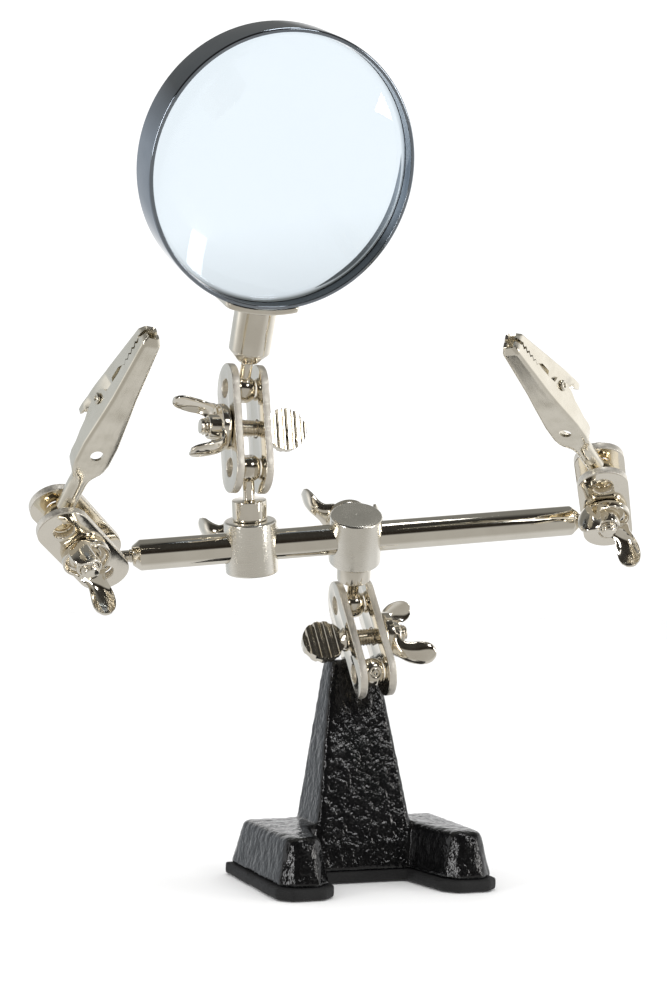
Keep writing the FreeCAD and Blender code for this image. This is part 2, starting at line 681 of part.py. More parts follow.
def make_lens():
    """A biconvex lens about the ring's axis."""
    radius = num("LensRadius")
    half_edge = num("LensEdge") / 2
    sag = num("LensSag")
    curve = (radius * radius + sag * sag) / (2 * sag)
    middle = radius / 2
    bulge = math.sqrt(curve * curve - middle * middle) - (curve - sag)
    centre = Vector(0, num("LensPlane"), num("RingReach"))

    def at(along, out):
        return centre + Vector(0, along, out)

    front = Part.Arc(at(-half_edge - sag, 0), at(-half_edge - bulge, middle), at(-half_edge, radius))
    rear = Part.Arc(at(half_edge, radius), at(half_edge + bulge, middle), at(half_edge + sag, 0))
    rim = Part.makeLine(at(-half_edge, radius), at(half_edge, radius))
    axis = Part.makeLine(at(half_edge + sag, 0), at(-half_edge - sag, 0))
    outline = Part.Face(Part.Wire([front.toShape(), rim, rear.toShape(), axis]))
    feature("lens", outline.revolve(centre, Vector(0, 1, 0), 360), MAGNIFIER)


def make_saddle():
    """The curved plate that carries the ring on its handle."""
    outer = size("RingRadius") + size("SaddleThickness")
    half = size("RingWidth") * 0.5
    band = cut("SaddleBand", drum("SaddleOuter", outer, -half, half),
               drum("SaddleInner", size("RingRadius"), -half, half))
    width = size("SaddleWidth")
    window = primitive("Box", "SaddleWindow", x=width * -0.5, y=-half, z=size("RingReach") - outer,
                       Length=width, Width=half * 2, Height=size("RingRadius") * 0.5)
    saddle = doc.addObject("Part::Common", "ring_saddle")
    saddle.Base = band
    saddle.Tool = window
    keep(saddle, "ring_saddle", MAGNIFIER)


def make_handle():
    outer = size("RingRadius") + size("SaddleThickness")
    start = size("HandleStart")
    low = size("HandleConeStart")
    rod = fuse("HandleRod", cone("HandleCone", size("HandleConeTip"), size("HandleRadius"), low, start),
               cylinder("HandleGrip", size("HandleRadius"), start, size("RingReach") - outer + 1.0))
    socket = cylinder("HandleSocket", size("BallNeckRadius") + size("StudRunningGap"), low,
                      low + size("HandleSpigot") + 0.3)
    saddle_room = drum("HandleSaddleRoom", outer, -size("RingWidth"), size("RingWidth"))
    keep(cut("magnifier_handle", rod, fuse("HandleHollow", socket, saddle_room)),
         "magnifier_handle", MAGNIFIER)


# --- crocodile clips ------------------------------------------------------------------------


def width_prism(stations, low, high):
    """A prism along Y whose half-width in X follows (z, half-width) stations."""
    left = [Vector(-half, low, z) for z, half in stations]
    right = [Vector(half, low, z) for z, half in reversed(stations)]
    outline = Part.Face(Part.makePolygon(left + right + left[:1]))
    return outline.extrude(Vector(0, high - low, 0))


def side_prism(corners, half):
    """A prism along X with this outline of (y, z) corners, out to half on each side."""
    points = [Vector(-half, y, z) for y, z in corners]
    outline = Part.Face(Part.makePolygon(points + points[:1]))
    return outline.extrude(Vector(2 * half, 0, 0))


def teeth(level, start, end, offset):
    """Corners of a saw-toothed edge from start to end along Z, about a level in Y."""
    pitch = num("ToothPitch")
    half_depth = num("ToothDepth") / 2
    count = int((end - start) / pitch)
    corners = []
    for index in range(count):
        z = start + index * pitch
        corners.append((level + offset - half_depth, z))
        corners.append((level + offset + half_depth, z + pitch / 2))
    return corners


JAW_LEVEL = -0.9
SIDE_REACH = 6.0


def drill(shape, radius, y, z):
    """A hole along X through a jaw's walls."""
    hole = Part.makeCylinder(radius, 2 * SIDE_REACH, Vector(-SIDE_REACH, y, z), Vector(1, 0, 0))
    return shape.cut(hole)


def make_fixed_jaw(side, place):
    """The long jaw: a folded channel with ears for the rivet, crimped round its stud."""
    sheet_thick = num("ClipSheet")
    barrel_end = num("ClipBarrelEnd")
    shoulder = num("ClipShoulder")
    length = num("ClipLength")
    pivot = num("ClipPivot")
    wide = num("ClipHalfWidth")
    narrow = num("ClipTipHalfWidth")
    back = num("ClipBackHeight")
    jaw_start = pivot + 4.5
    stations = [(barrel_end - 2.5, 2.0), (barrel_end + 1.5, 2.3), (shoulder, wide),
                (shoulder + 5, wide), (jaw_start, narrow + 0.7), (length - 1.2, narrow),
                (length, narrow - 0.9)]
    mouth = teeth(JAW_LEVEL, jaw_start, length - 1.0, num("JawGap") / 2)
    outline = [(1.9, barrel_end - 2.5), (-1.9, barrel_end - 2.5), (-1.9, shoulder - 2),
               (-4.3, pivot - 4), (-4.3, pivot + 1.5), (-3.2, pivot + 3)] + mouth
    outline += [(JAW_LEVEL + 0.4, length), (back - 1.2, length), (back - 0.5, length - 1.5),
                (back, pivot), (back, shoulder - 3)]
    solid = width_prism(stations, -SIDE_REACH, SIDE_REACH)
    solid = solid.common(side_prism(outline, SIDE_REACH))
    inner = [(z, half - sheet_thick) for z, half in stations[1:-2]]
    inner.append((length - 2.2, narrow - sheet_thick))
    hollow = width_prism(inner, -SIDE_REACH, SIDE_REACH)
    roof = [(-SIDE_REACH, barrel_end), (-SIDE_REACH, length), (0.0, length),
            (back - sheet_thick - 0.4, length - 3), (back - sheet_thick, pivot),
            (back - sheet_thick, shoulder), (0.6, barrel_end)]
    solid = solid.cut(hollow.common(side_prism(roof, SIDE_REACH)))
    barrel = Part.makeCylinder(2.0, barrel_end + 1.0 - num("ClipTail"),
                               Vector(0, 0, num("ClipTail")))
    solid = solid.fuse(barrel)
    bore = num("BallNeckRadius") + num("StudRunningGap")
    solid = solid.cut(Part.makeCylinder(bore, barrel_end + 3, Vector(0, 0, 0)))
    solid = drill(solid, num("RivetRadius") + 0.02, -num("ClipPivotDepth"), pivot)
    screw_hole = Part.makeCylinder(num("ClipHoleRadius"), 3, Vector(0, 0.5, num("ClipHoleHeight")),
                                   Vector(0, 1, 0))
    feature(f"{side}_clip_fixed_jaw", solid.cut(screw_hole).removeSplitter(), place)


def make_moving_jaw(side, place):
    """The short jaw: a channel that nests between the ears and ends in a thumb tab."""
    sheet_thick = num("ClipSheet")
    length = num("ClipLength")
    pivot = num("ClipPivot")
    narrow = num("ClipTipHalfWidth")
    depth = num("ClipPivotDepth")
    jaw_start = pivot + 4.5
    nested = 1.7
    stations = [(pivot - 9, nested + 1.0), (pivot - 6, nested + 1.0), (pivot - 4.5, nested),
                (jaw_start, nested), (jaw_start + 1.5, narrow + 0.65),
                (length - 1.2, narrow), (length, narrow - 0.9)]
    mouth = teeth(JAW_LEVEL, jaw_start, length - 1.0, -num("JawGap") / 2)
    tab_tip = -depth - 5.6
    outline = [(-depth + 1.5, pivot - 1.5), (-depth + 1.5, pivot + 1.5)] + mouth
    outline += [(JAW_LEVEL - 0.4, length), (-2.6, length), (-3.3, length - 1.5),
                (-depth - 2.4, pivot + 2), (-depth - 2.4, pivot - 2.5), (tab_tip - 0.5, pivot - 8.2),
                (tab_tip + 0.1, pivot - 8.6), (-depth - 1.0, pivot - 2.2)]
    solid = width_prism(stations, -2 * SIDE_REACH, SIDE_REACH)
    solid = solid.common(side_prism(outline, SIDE_REACH))
    inner = [(pivot - 2.0, nested - sheet_thick), (jaw_start, nested - sheet_thick),
             (jaw_start + 1.5, narrow + 0.65 - sheet_thick), (length - 2.2, narrow - sheet_thick)]
    floor = [(SIDE_REACH, pivot - 2.0), (SIDE_REACH, length), (-1.8, length - 2.0),
             (-depth - 2.4 + sheet_thick, pivot + 2), (-depth - 2.4 + sheet_thick, pivot - 2.0)]
    hollow = width_prism(inner, -SIDE_REACH, SIDE_REACH).common(side_prism(floor, SIDE_REACH))
    solid = drill(solid.cut(hollow), num("RivetRadius") + 0.06, -depth, pivot)
    feature(f"{side}_clip_moving_jaw", solid.removeSplitter(), place)


def make_rivet(side, place):
    """The rivet both jaws turn on, with a domed head on each ear."""
    reach = rivet_reach()
    pivot = num("ClipPivot")
    depth = num("ClipPivotDepth")
    start = Vector(-reach, -depth, pivot)
    pin = Part.makeCylinder(num("RivetRadius"), 2 * reach, start, Vector(1, 0, 0))
    for sign in (-1, 1):
        seat = Vector(sign * reach, -depth, pivot)
        head = Part.makeCone(num("RivetHeadRadius"), num("RivetHeadRadius") * 0.6, 0.5, seat,
                             Vector(sign, 0, 0))
        pin = pin.fuse(head)
    feature(f"{side}_clip_rivet", pin.removeSplitter(), place)


def rivet_reach():
    """Half the width of the fixed jaw across its ears, at the rivet's thickest side."""
    wide = num("ClipHalfWidth")
    taper_start = num("ClipShoulder") + 5
    taper_end = num("ClipPivot") + 4.5
    part_way = (num("ClipPivot") - num("RivetHeadRadius") - taper_start) / (taper_end - taper_start)
    return wide + (num("ClipTipHalfWidth") + 0.7 - wide) * part_way


def make_spring(side, place):
    """The torsion spring round the rivet: three turns and the leg along the fixed jaw."""
    wire = num("SpringWire")
    radius = num("SpringRadius")
    pivot = num("ClipPivot")
    depth = num("ClipPivotDepth")
    turns = 3
    spring = None
    for turn in range(turns):
        x = (turn - (turns - 1) / 2) * wire * 1.9
        coil = Part.makeTorus(radius, wire, Vector(x, -depth, pivot), Vector(1, 0, 0))
        spring = coil if spring is None else spring.fuse(coil)
    leg = Part.makeCylinder(wire, 6.0, Vector(0, -depth + radius, pivot), Vector(0, 0.35, -1))
    feature(f"{side}_clip_spring", spring.fuse(leg).removeSplitter(), place)


def make_clips():
    for side, place in (("left", LEFT_CLIP), ("right", RIGHT_CLIP)):
        make_fixed_jaw(side, place)
        make_moving_jaw(side, place)
        make_rivet(side, place)
        make_spring(side, place)


# --- the whole object -----------------------------------------------------------------------


def check_and_write():
    """Stop on any failed feature or empty solid, then write one STEP file for each node."""
    doc.recompute()
    for thing in doc.Objects:
        if "Invalid" in thing.State or "Error" in thing.State:
            raise RuntimeError(f"{thing.Name} did not build: {thing.State}")
    os.makedirs("parts", exist_ok=True)
    for node in nodes:
        if node.Shape.isNull() or not node.Shape.isValid():
            raise RuntimeError(f"{node.Label} has no valid shape")
        print(node.Label, round(node.Shape.Volume, 1), len(node.Shape.Solids))
        node.Shape.exportStep(f"parts/{node.Label}.step")


make_pad()
make_casting()
make_studs()
make_clamps()
make_carriers()
make_bar()
make_ring()
make_lens()
make_saddle()
make_handle()
make_clips()
check_and_write()
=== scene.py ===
"""Looks of a bench helping hands: cast base, ball-clamped crossbar, two crocodile clips, magnifier.

Pieces are drawn in millimetres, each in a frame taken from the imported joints, so a piece sits
where the CAD puts it and rides on the CAD body it stands for. The casting and its rubber pad are
the exception: they start from their CAD meshes, with the arrises worn round.
"""

import json
import math

import bmesh
import bpy
from mathutils import Matrix, Vector, noise


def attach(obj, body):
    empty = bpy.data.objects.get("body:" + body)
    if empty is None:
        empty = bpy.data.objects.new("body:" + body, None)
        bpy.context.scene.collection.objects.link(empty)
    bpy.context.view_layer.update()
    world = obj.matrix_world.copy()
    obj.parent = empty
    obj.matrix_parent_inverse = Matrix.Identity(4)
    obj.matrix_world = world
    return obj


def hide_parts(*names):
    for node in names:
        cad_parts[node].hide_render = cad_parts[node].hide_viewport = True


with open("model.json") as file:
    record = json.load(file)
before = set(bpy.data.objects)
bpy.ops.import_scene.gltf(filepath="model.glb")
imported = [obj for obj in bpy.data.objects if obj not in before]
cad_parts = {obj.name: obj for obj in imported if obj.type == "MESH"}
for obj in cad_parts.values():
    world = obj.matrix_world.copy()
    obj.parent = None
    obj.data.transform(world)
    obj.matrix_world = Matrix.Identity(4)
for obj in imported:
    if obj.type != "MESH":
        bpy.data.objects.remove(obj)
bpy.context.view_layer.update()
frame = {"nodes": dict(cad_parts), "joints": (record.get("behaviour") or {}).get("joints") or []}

MM = 0.001
JOINTS = {joint["name"]: joint for joint in frame["joints"]}

# --- frames from the joints -----------------------------------------------------------------


def axis_of(name):
    return Vector(JOINTS[name]["axis"]).normalized()


def centre_of(name):
    return Vector(JOINTS[name]["pos_m"])


def frame_at(origin, up, across):
    """A matrix whose Z is up and whose X is as near to across as it can be."""
    across = (across - up * across.dot(up)).normalized()
    side = up.cross(across)
    place = Matrix((across, side, up)).transposed().to_4x4()
    place.translation = origin
    return place


def clamp_place(side):
    """Middle of a ball clamp's screw, Z from its first ball to its second, X to the wing nut."""
    middle = centre_of(f"{side}_wing_nut_turn")
    return frame_at(middle, (middle - centre_of(CLAMP_TILTS[side])).normalized(),
                    axis_of(f"{side}_wing_nut_turn"))


CLAMP_TILTS = {"lower": "lower_clamp_tilt", "magnifier": "magnifier_clamp_tilt",
               "left": "left_clamp_tilt", "right": "right_clamp_tilt"}
CLAMPS = {side: clamp_place(side) for side in CLAMP_TILTS}
BAR_ALONG = axis_of("crossbar_slide")
CROSS_UP = axis_of("cross_clamp_swivel")
CROSS = frame_at(centre_of("cross_clamp_screw_turn"), CROSS_UP, BAR_ALONG)
SLIDER = frame_at(centre_of("slider_screw_turn"), -axis_of("slider_swivel"), -BAR_ALONG)
BAR = frame_at(centre_of("cross_clamp_screw_turn"), BAR_ALONG, Vector((0, 0, 1)))
LENS_RISE, LENS_TURN = math.radians(-28.0), math.radians(-84.1)
LENS_FRONT = Vector((math.cos(LENS_RISE) * math.cos(LENS_TURN),
                     math.cos(LENS_RISE) * math.sin(LENS_TURN),
                     math.sin(LENS_RISE)))


def magnifier_place():
    """The magnifier's ball, Z up its handle, -Y out of the lens towards the user."""
    up = axis_of("magnifier_twist")
    return frame_at(centre_of("magnifier_twist"), up, up.cross(LENS_FRONT))


MAGNIFIER = magnifier_place()


def clip_place(side):
    """A clip's ball, Z to its tips, X along its rivet, +Y out of the flat back."""
    return frame_at(centre_of(f"{side}_clip_twist"), axis_of(f"{side}_clip_twist"),
                    axis_of(f"{side}_jaw_open"))


CLIPS = {side: clip_place(side) for side in ("left", "right")}
BALLS = {side: frame_at(centre_of(f"{side}_bar_ball_twist"), -axis_of(f"{side}_bar_ball_twist"),
                        Vector((0, 0, 1))) for side in ("left", "right")}
BASE_STUD = frame_at(centre_of("base_twist"), -axis_of("base_twist"), Vector((1, 0, 0)))

# --- materials ------------------------------------------------------------------------------


def node_tree(name):
    """A new material, its node tree and its Principled shader."""
    material = bpy.data.materials.new(name)
    material.use_nodes = True
    tree = material.node_tree
    shader = tree.nodes["Principled BSDF"]
    return material, tree, shader


def add(tree, kind, **settings):
    """A new node with its settings made."""
    made = tree.nodes.new(kind)
    for key, value in settings.items():
        setattr(made, key, value)
    return made


def scaled_coordinates(tree, stretch):
    """Object coordinates multiplied by stretch, so texture scales are per metre of each axis."""
    source = add(tree, "ShaderNodeTexCoord")
    mapping = add(tree, "ShaderNodeMapping")
    mapping.inputs["Scale"].default_value = stretch
    tree.links.new(source.outputs["Object"], mapping.inputs["Vector"])
    return mapping.outputs["Vector"]


def arithmetic(tree, operation, *values):
    """A Math node over other nodes' outputs."""
    made = add(tree, "ShaderNodeMath", operation=operation)
    for socket, value in zip(made.inputs, values):
        tree.links.new(value, socket)
    return made.outputs[0]


def noise_map(tree, vector, scale, detail=3.0, roughness=0.55):
    """Soft noise over the given coordinates, about 0.5 in the middle."""
    texture = add(tree, "ShaderNodeTexNoise")
    texture.inputs["Scale"].default_value = scale
    texture.inputs["Detail"].default_value = detail
    texture.inputs["Roughness"].default_value = roughness
    tree.links.new(vector, texture.inputs["Vector"])
    return texture.outputs["Fac"]


def ramp(tree, factor, low, high, low_value, high_value):
    """The factor stretched from low..high to a range of values, clamped at both ends."""
    stretch = add(tree, "ShaderNodeMapRange")
    stretch.inputs["From Min"].default_value = low
    stretch.inputs["From Max"].default_value = high
    stretch.inputs["To Min"].default_value = low_value
    stretch.inputs["To Max"].default_value = high_value
    tree.links.new(factor, stretch.inputs["Value"])
    return stretch.outputs["Result"]


def mix_colors(tree, factor, first, second):
    """The first colour where the factor is 0 and the second where it is 1."""
    mix = add(tree, "ShaderNodeMix", data_type="RGBA")
    for socket, value in (("A", first), ("B", second)):
        target = [item for item in mix.inputs if item.name == socket and item.type == "RGBA"][0]
        if isinstance(value, tuple):
            target.default_value = (*value, 1.0)
        else:
            tree.links.new(value, target)
    tree.links.new(factor, mix.inputs[0])
    return [item for item in mix.outputs if item.type == "RGBA"][0]


def bump(tree, height, distance, normal=None):
    """A normal tilted by a height map whose full range is distance metres."""
    made = add(tree, "ShaderNodeBump")
    made.inputs["Strength"].default_value = 1.0
    made.inputs["Distance"].default_value = distance
    tree.links.new(height, made.inputs["Height"])
    if normal is not None:
        tree.links.new(normal, made.inputs["Normal"])
    return made.outputs["Normal"]


def metal(name, bright, dull, smooth, rough, grain=(900, 900, 900), grain_depth=0.000004,
          cloud=140, pits=0.0):
    """A bare or plated metal: cloudy tint, uneven polish and a fine directional grain."""
    material, tree, shader = node_tree(name)
    plain = scaled_coordinates(tree, (1, 1, 1))
    grained = scaled_coordinates(tree, grain)
    clouds = noise_map(tree, plain, cloud, detail=4.0)
    lines = noise_map(tree, grained, 1.0, detail=2.0)
    color = mix_colors(tree, ramp(tree, clouds, 0.35, 0.7, 0.0, 1.0), bright, dull)
    tree.links.new(color, shader.inputs["Base Color"])
    polish = arithmetic(tree, "MULTIPLY", ramp(tree, clouds, 0.3, 0.75, 0.6, 1.2),
                        ramp(tree, lines, 0.3, 0.7, smooth, rough))
    tree.links.new(polish, shader.inputs["Roughness"])
    shader.inputs["Metallic"].default_value = 1.0
    surface = bump(tree, lines, grain_depth)
    if pits:
        specks = noise_map(tree, plain, 2800, detail=2.0)
        surface = bump(tree, ramp(tree, specks, 0.55, 0.75, 1.0, 0.0), pits, surface)
    tree.links.new(surface, shader.inputs["Normal"])
    return material


def plate_metal():
    """Clamp plates: polished on their two faces, coarse and torn on their sheared edges."""
    material, tree, shader = node_tree("plate_nickel")
    plain = scaled_coordinates(tree, (1, 1, 1))
    source = add(tree, "ShaderNodeTexCoord")
    split = add(tree, "ShaderNodeSeparateXYZ")
    tree.links.new(source.outputs["Normal"], split.inputs[0])
    facing = arithmetic(tree, "ABSOLUTE", split.outputs["Z"])
    edge = ramp(tree, facing, 0.6, 0.25, 0.0, 1.0)
    clouds = noise_map(tree, plain, 160, detail=3.0)
    torn = noise_map(tree, scaled_coordinates(tree, (2200, 2200, 1300)), 1.0, detail=4.0)
    color = mix_colors(tree, clouds, (0.88, 0.83, 0.73), (0.79, 0.74, 0.64))
    color = mix_colors(tree, edge, color, (0.93, 0.885, 0.80))
    tree.links.new(color, shader.inputs["Base Color"])
    polish = arithmetic(tree, "MULTIPLY_ADD", edge, ramp(tree, torn, 0.3, 0.7, 0.25, 0.5),
                        ramp(tree, clouds, 0.3, 0.7, 0.07, 0.16))
    tree.links.new(polish, shader.inputs["Roughness"])
    shader.inputs["Metallic"].default_value = 1.0
    height = arithmetic(tree, "MULTIPLY", edge, torn)
    surface = bump(tree, clouds, 0.00006)
    tree.links.new(bump(tree, height, 0.00008, surface), shader.inputs["Normal"])
    return material


def paint():
    """Thick glossy black wrinkle enamel over a sand casting."""
    material, tree, shader = node_tree("black_paint")
    plain = scaled_coordinates(tree, (1, 1, 1))
    lumps = noise_map(tree, scaled_coordinates(tree, (1, 1, 0.7)), 620, detail=2.0, roughness=0.5)
    fine = noise_map(tree, plain, 1500, detail=2.0, roughness=0.5)
    dust = noise_map(tree, plain, 4200, detail=1.0)
    wear = add(tree, "ShaderNodeNewGeometry")
    edges = ramp(tree, wear.outputs["Pointiness"], 0.53, 0.6, 0.0, 1.0)
    worn = arithmetic(tree, "MULTIPLY", edges, ramp(tree, dust, 0.45, 0.7, 0.0, 1.0))
    color = mix_colors(tree, ramp(tree, fine, 0.3, 0.75, 0.0, 1.0), (0.0022, 0.0022, 0.0025),
                       (0.006, 0.006, 0.0062))
    color = mix_colors(tree, worn, color, (0.12, 0.12, 0.125))
    tree.links.new(color, shader.inputs["Base Color"])
    tree.links.new(ramp(tree, lumps, 0.3, 0.7, 0.07, 0.17), shader.inputs["Roughness"])
    shader.inputs["Specular IOR Level"].default_value = 0.5
    surface = bump(tree, lumps, 0.0003)
    tree.links.new(bump(tree, fine, 0.0001, surface), shader.inputs["Normal"])
    return material


def rubber():
    """Black rubber sheet with a fine moulded grain."""
    material, tree, shader = node_tree("base_rubber")
    plain = scaled_coordinates(tree, (1, 1, 1))
    grain = noise_map(tree, plain, 3200, detail=3.0, roughness=0.7)
    marks = noise_map(tree, plain, 260, detail=4.0)
    color = mix_colors(tree, marks, (0.005, 0.005, 0.0055), (0.013, 0.013, 0.0135))
    tree.links.new(color, shader.inputs["Base Color"])
    tree.links.new(ramp(tree, grain, 0.3, 0.7, 0.6, 0.85), shader.inputs["Roughness"])
    surface = bump(tree, marks, 0.00015)
    tree.links.new(bump(tree, grain, 0.00009, surface), shader.inputs["Normal"])
    return material


def glass():
    """Clear ground glass with faint dust and smears."""
    material, tree, shader = node_tree("lens_glass")
    plain = scaled_coordinates(tree, (1, 1, 1))
    smears = noise_map(tree, plain, 60, detail=5.0)
    color = mix_colors(tree, smears, (0.80, 0.872, 0.925), (0.775, 0.857, 0.915))
    tree.links.new(color, shader.inputs["Base Color"])
    tree.links.new(ramp(tree, smears, 0.4, 0.8, 0.0, 0.02), shader.inputs["Roughness"])
    shader.inputs["Transmission Weight"].default_value = 1.0
    shader.inputs["IOR"].default_value = 1.5
    return material


NICKEL_BRIGHT, NICKEL_DULL = (0.88, 0.83, 0.73), (0.77, 0.715, 0.61)
LOOKS = {
    "black_paint": paint(),
    "base_rubber": rubber(),
    "plate_nickel": plate_metal(),
    "stamped_nickel": metal("stamped_nickel", NICKEL_BRIGHT, NICKEL_DULL, 0.08, 0.17,
                            (700, 700, 700), 0.00001, cloud=260),
    "turned_nickel": metal("turned_nickel", NICKEL_BRIGHT, NICKEL_DULL, 0.07, 0.2,
                           (300, 300, 5200), 0.000006),
    "stud_brass": metal("stud_brass", (0.84, 0.72, 0.49), (0.72, 0.58, 0.36), 0.12, 0.26,
                        (300, 300, 5200), 0.000006),
    "satin_nickel": metal("satin_nickel", (0.93, 0.895, 0.81), (0.85, 0.81, 0.725), 0.22, 0.36,
                          (160, 160, 4200), 0.000006, pits=0.00001),
    "bar_nickel": metal("bar_nickel", (0.88, 0.835, 0.74), (0.80, 0.755, 0.66), 0.045, 0.1,
                        (260, 260, 2400), 0.000002, cloud=90),
    # Painted reflection: the ring's dark blue-grey base colour stands in for the dark room mirrored
    # in its chrome.
    "ring_chrome": metal("ring_chrome", (0.33, 0.365, 0.41), (0.24, 0.275, 0.32), 0.05, 0.12,
                         (900, 500, 900), 0.000003, cloud=70),
    "handle_nickel": metal("handle_nickel", (0.88, 0.83, 0.73), (0.78, 0.73, 0.63), 0.08, 0.18,
                           (260, 260, 3000), 0.000004),
    "lens_glass": glass(),
    "clip_nickel": metal("clip_nickel", (0.84, 0.79, 0.68), (0.74, 0.69, 0.58), 0.17, 0.3,
                         (1500, 1500, 260), 0.000005, cloud=180),
    "spring_steel": metal("spring_steel", (0.50, 0.48, 0.45), (0.36, 0.35, 0.33), 0.2, 0.35,
                          (1200, 1200, 1200), 0.000004),
}

# --- mesh helpers ---------------------------------------------------------------------------


def smoothstep(low, high, value):
    """0 below low, 1 above high, and a smooth rise between."""
    t = max(0.0, min(1.0, (value - low) / (high - low)))
    return t * t * (3 - 2 * t)


def rounded(points, radius, steps=3):
    """A polyline with each inner corner replaced by a short arc."""
    smooth = [points[0]]
    for before, corner, after in zip(points, points[1:], points[2:]):
        before, corner, after = Vector(before), Vector(corner), Vector(after)
        back = before - corner
        ahead = after - corner
        reach = min(radius, back.length * 0.45, ahead.length * 0.45)
        start = corner + back.normalized() * reach
        end = corner + ahead.normalized() * reach
        for step in range(steps + 1):
            t = step / steps
            point = start * (1 - t) ** 2 + corner * 2 * t * (1 - t) + end * t ** 2
            smooth.append(tuple(point))
    smooth.append(points[-1])
    return smooth


def skin(bm, rings, closed=True):
    """Quads between successive rings of vertices; a ring of one vertex makes a fan."""
    for first, second in zip(rings, rings[1:]):
        count = max(len(first), len(second))
        for index in range(count if closed else count - 1):
            after = (index + 1) % count
            if len(first) == 1 and len(second) == 1:
                continue
            if len(first) == 1:
                bm.faces.new((first[0], second[index], second[after]))
            elif len(second) == 1:
                bm.faces.new((first[index], second[0], first[after]))
            else:
                bm.faces.new((first[index], second[index], second[after], first[after]))


def lathe(bm, profile, about="Z", segments=64, centre=(0, 0, 0), turn=None):
    """Turn (radius, height) points about an axis through centre; turn adds a matrix after it."""
    rings = []
    for radius, height in profile:
        if radius < 1e-6:
            spots = [(0, 0, height)]
        else:
            angles = [2 * math.pi * index / segments for index in range(segments)]
            spots = [(radius * math.cos(a), radius * math.sin(a), height) for a in angles]
        rings.append(spots)
    swap = {"Z": lambda x, y, z: (x, y, z), "X": lambda x, y, z: (z, x, y),
            "Y": lambda x, y, z: (y, z, x)}[about]
    made = []
    for spots in rings:
        ring = []
        for spot in spots:
            point = Vector(swap(*spot)) + Vector(centre)
            if turn is not None:
                point = turn @ point
            ring.append(bm.verts.new(point))
        made.append(ring)
    skin(bm, made)


def grid_faces(bm, rows):
    """Quads over a grid of vertices given row by row."""
    skin(bm, rows, closed=False)


def make_piece(name, bm, place, body, nodes, slot, angle=40.0, bevel=0.0, thickness=0.0):
    """Turn a millimetre mesh into a piece that replaces CAD nodes and rides on their body."""
    bmesh.ops.remove_doubles(bm, verts=bm.verts, dist=1e-4)
    bmesh.ops.recalc_face_normals(bm, faces=bm.faces)
    bmesh.ops.scale(bm, vec=(MM, MM, MM), verts=bm.verts)
    mesh = bpy.data.meshes.new(name)
    bm.to_mesh(mesh)
    bm.free()
    piece = bpy.data.objects.new(name, mesh)
    bpy.context.scene.collection.objects.link(piece)
    if thickness:
        solid = piece.modifiers.new("Sheet", "SOLIDIFY")
        solid.thickness = thickness * MM
        solid.offset = -1.0
        solid.use_even_offset = True
    if bevel:
        soft = piece.modifiers.new("Edges", "BEVEL")
        soft.width = bevel * MM
        soft.segments = 2
        soft.limit_method = "ANGLE"
        soft.angle_limit = math.radians(35)
    if thickness or bevel:
        apply_modifiers(piece)
    piece.data.materials.clear()
    piece.data.materials.append(LOOKS[slot])
    smooth_by_angle(piece.data, angle)
    piece.matrix_world = place
    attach(piece, body)
    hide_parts(*nodes)
    return piece


def apply_modifiers(piece):
    """Bake a piece's modifiers into its mesh."""
    graph = bpy.context.evaluated_depsgraph_get()
    finished = bpy.data.meshes.new_from_object(piece.evaluated_get(graph))
    piece.modifiers.clear()
    piece.data = finished


def smooth_by_angle(mesh, degrees):
    """Smooth faces, with edges sharper than the angle kept sharp."""
    mesh.shade_smooth()
    mesh.set_sharp_from_angle(angle=math.radians(degrees))


def carve(piece, tool_mesh):
    """Cut a millimetre mesh, drawn in the piece's own frame, out of the piece."""
    bmesh.ops.recalc_face_normals(tool_mesh, faces=tool_mesh.faces)
    bmesh.ops.scale(tool_mesh, vec=(MM, MM, MM), verts=tool_mesh.verts)
    mesh = bpy.data.meshes.new("tool")
    tool_mesh.to_mesh(mesh)
    tool_mesh.free()
    tool = bpy.data.objects.new("tool", mesh)
    bpy.context.scene.collection.objects.link(tool)
    tool.matrix_world = piece.matrix_world
    cutter = piece.modifiers.new("Carve", "BOOLEAN")
    cutter.operation = "DIFFERENCE"
    cutter.solver = "EXACT"
    cutter.object = tool
    bpy.context.view_layer.update()
    apply_modifiers(piece)
    bpy.data.objects.remove(tool)


def bore(piece, profile, **how):
    """Cut a turned (radius, height) shape out of a piece."""
    tool = bmesh.new()
    lathe(tool, profile, **how)
    carve(piece, tool)


def curve_mesh(name, curve):
    """A curve's surface as a mesh."""
    holder = bpy.data.objects.new(name, curve)
    bpy.context.scene.collection.objects.link(holder)
    graph = bpy.context.evaluated_depsgraph_get()
    mesh = bpy.data.meshes.new_from_object(holder.evaluated_get(graph))
    bpy.data.objects.remove(holder)
    return mesh


# --- base -----------------------------------------------------------------------------------

CAST_VOXEL = 0.00042
CAST_LUMP = 0.00009
FOOT_TOP, COLUMN_SIDE, FADE = 0.0165, 0.0125, 0.002
SOLE_KEPT, SOLE_FREE = 0.0035, 0.0075


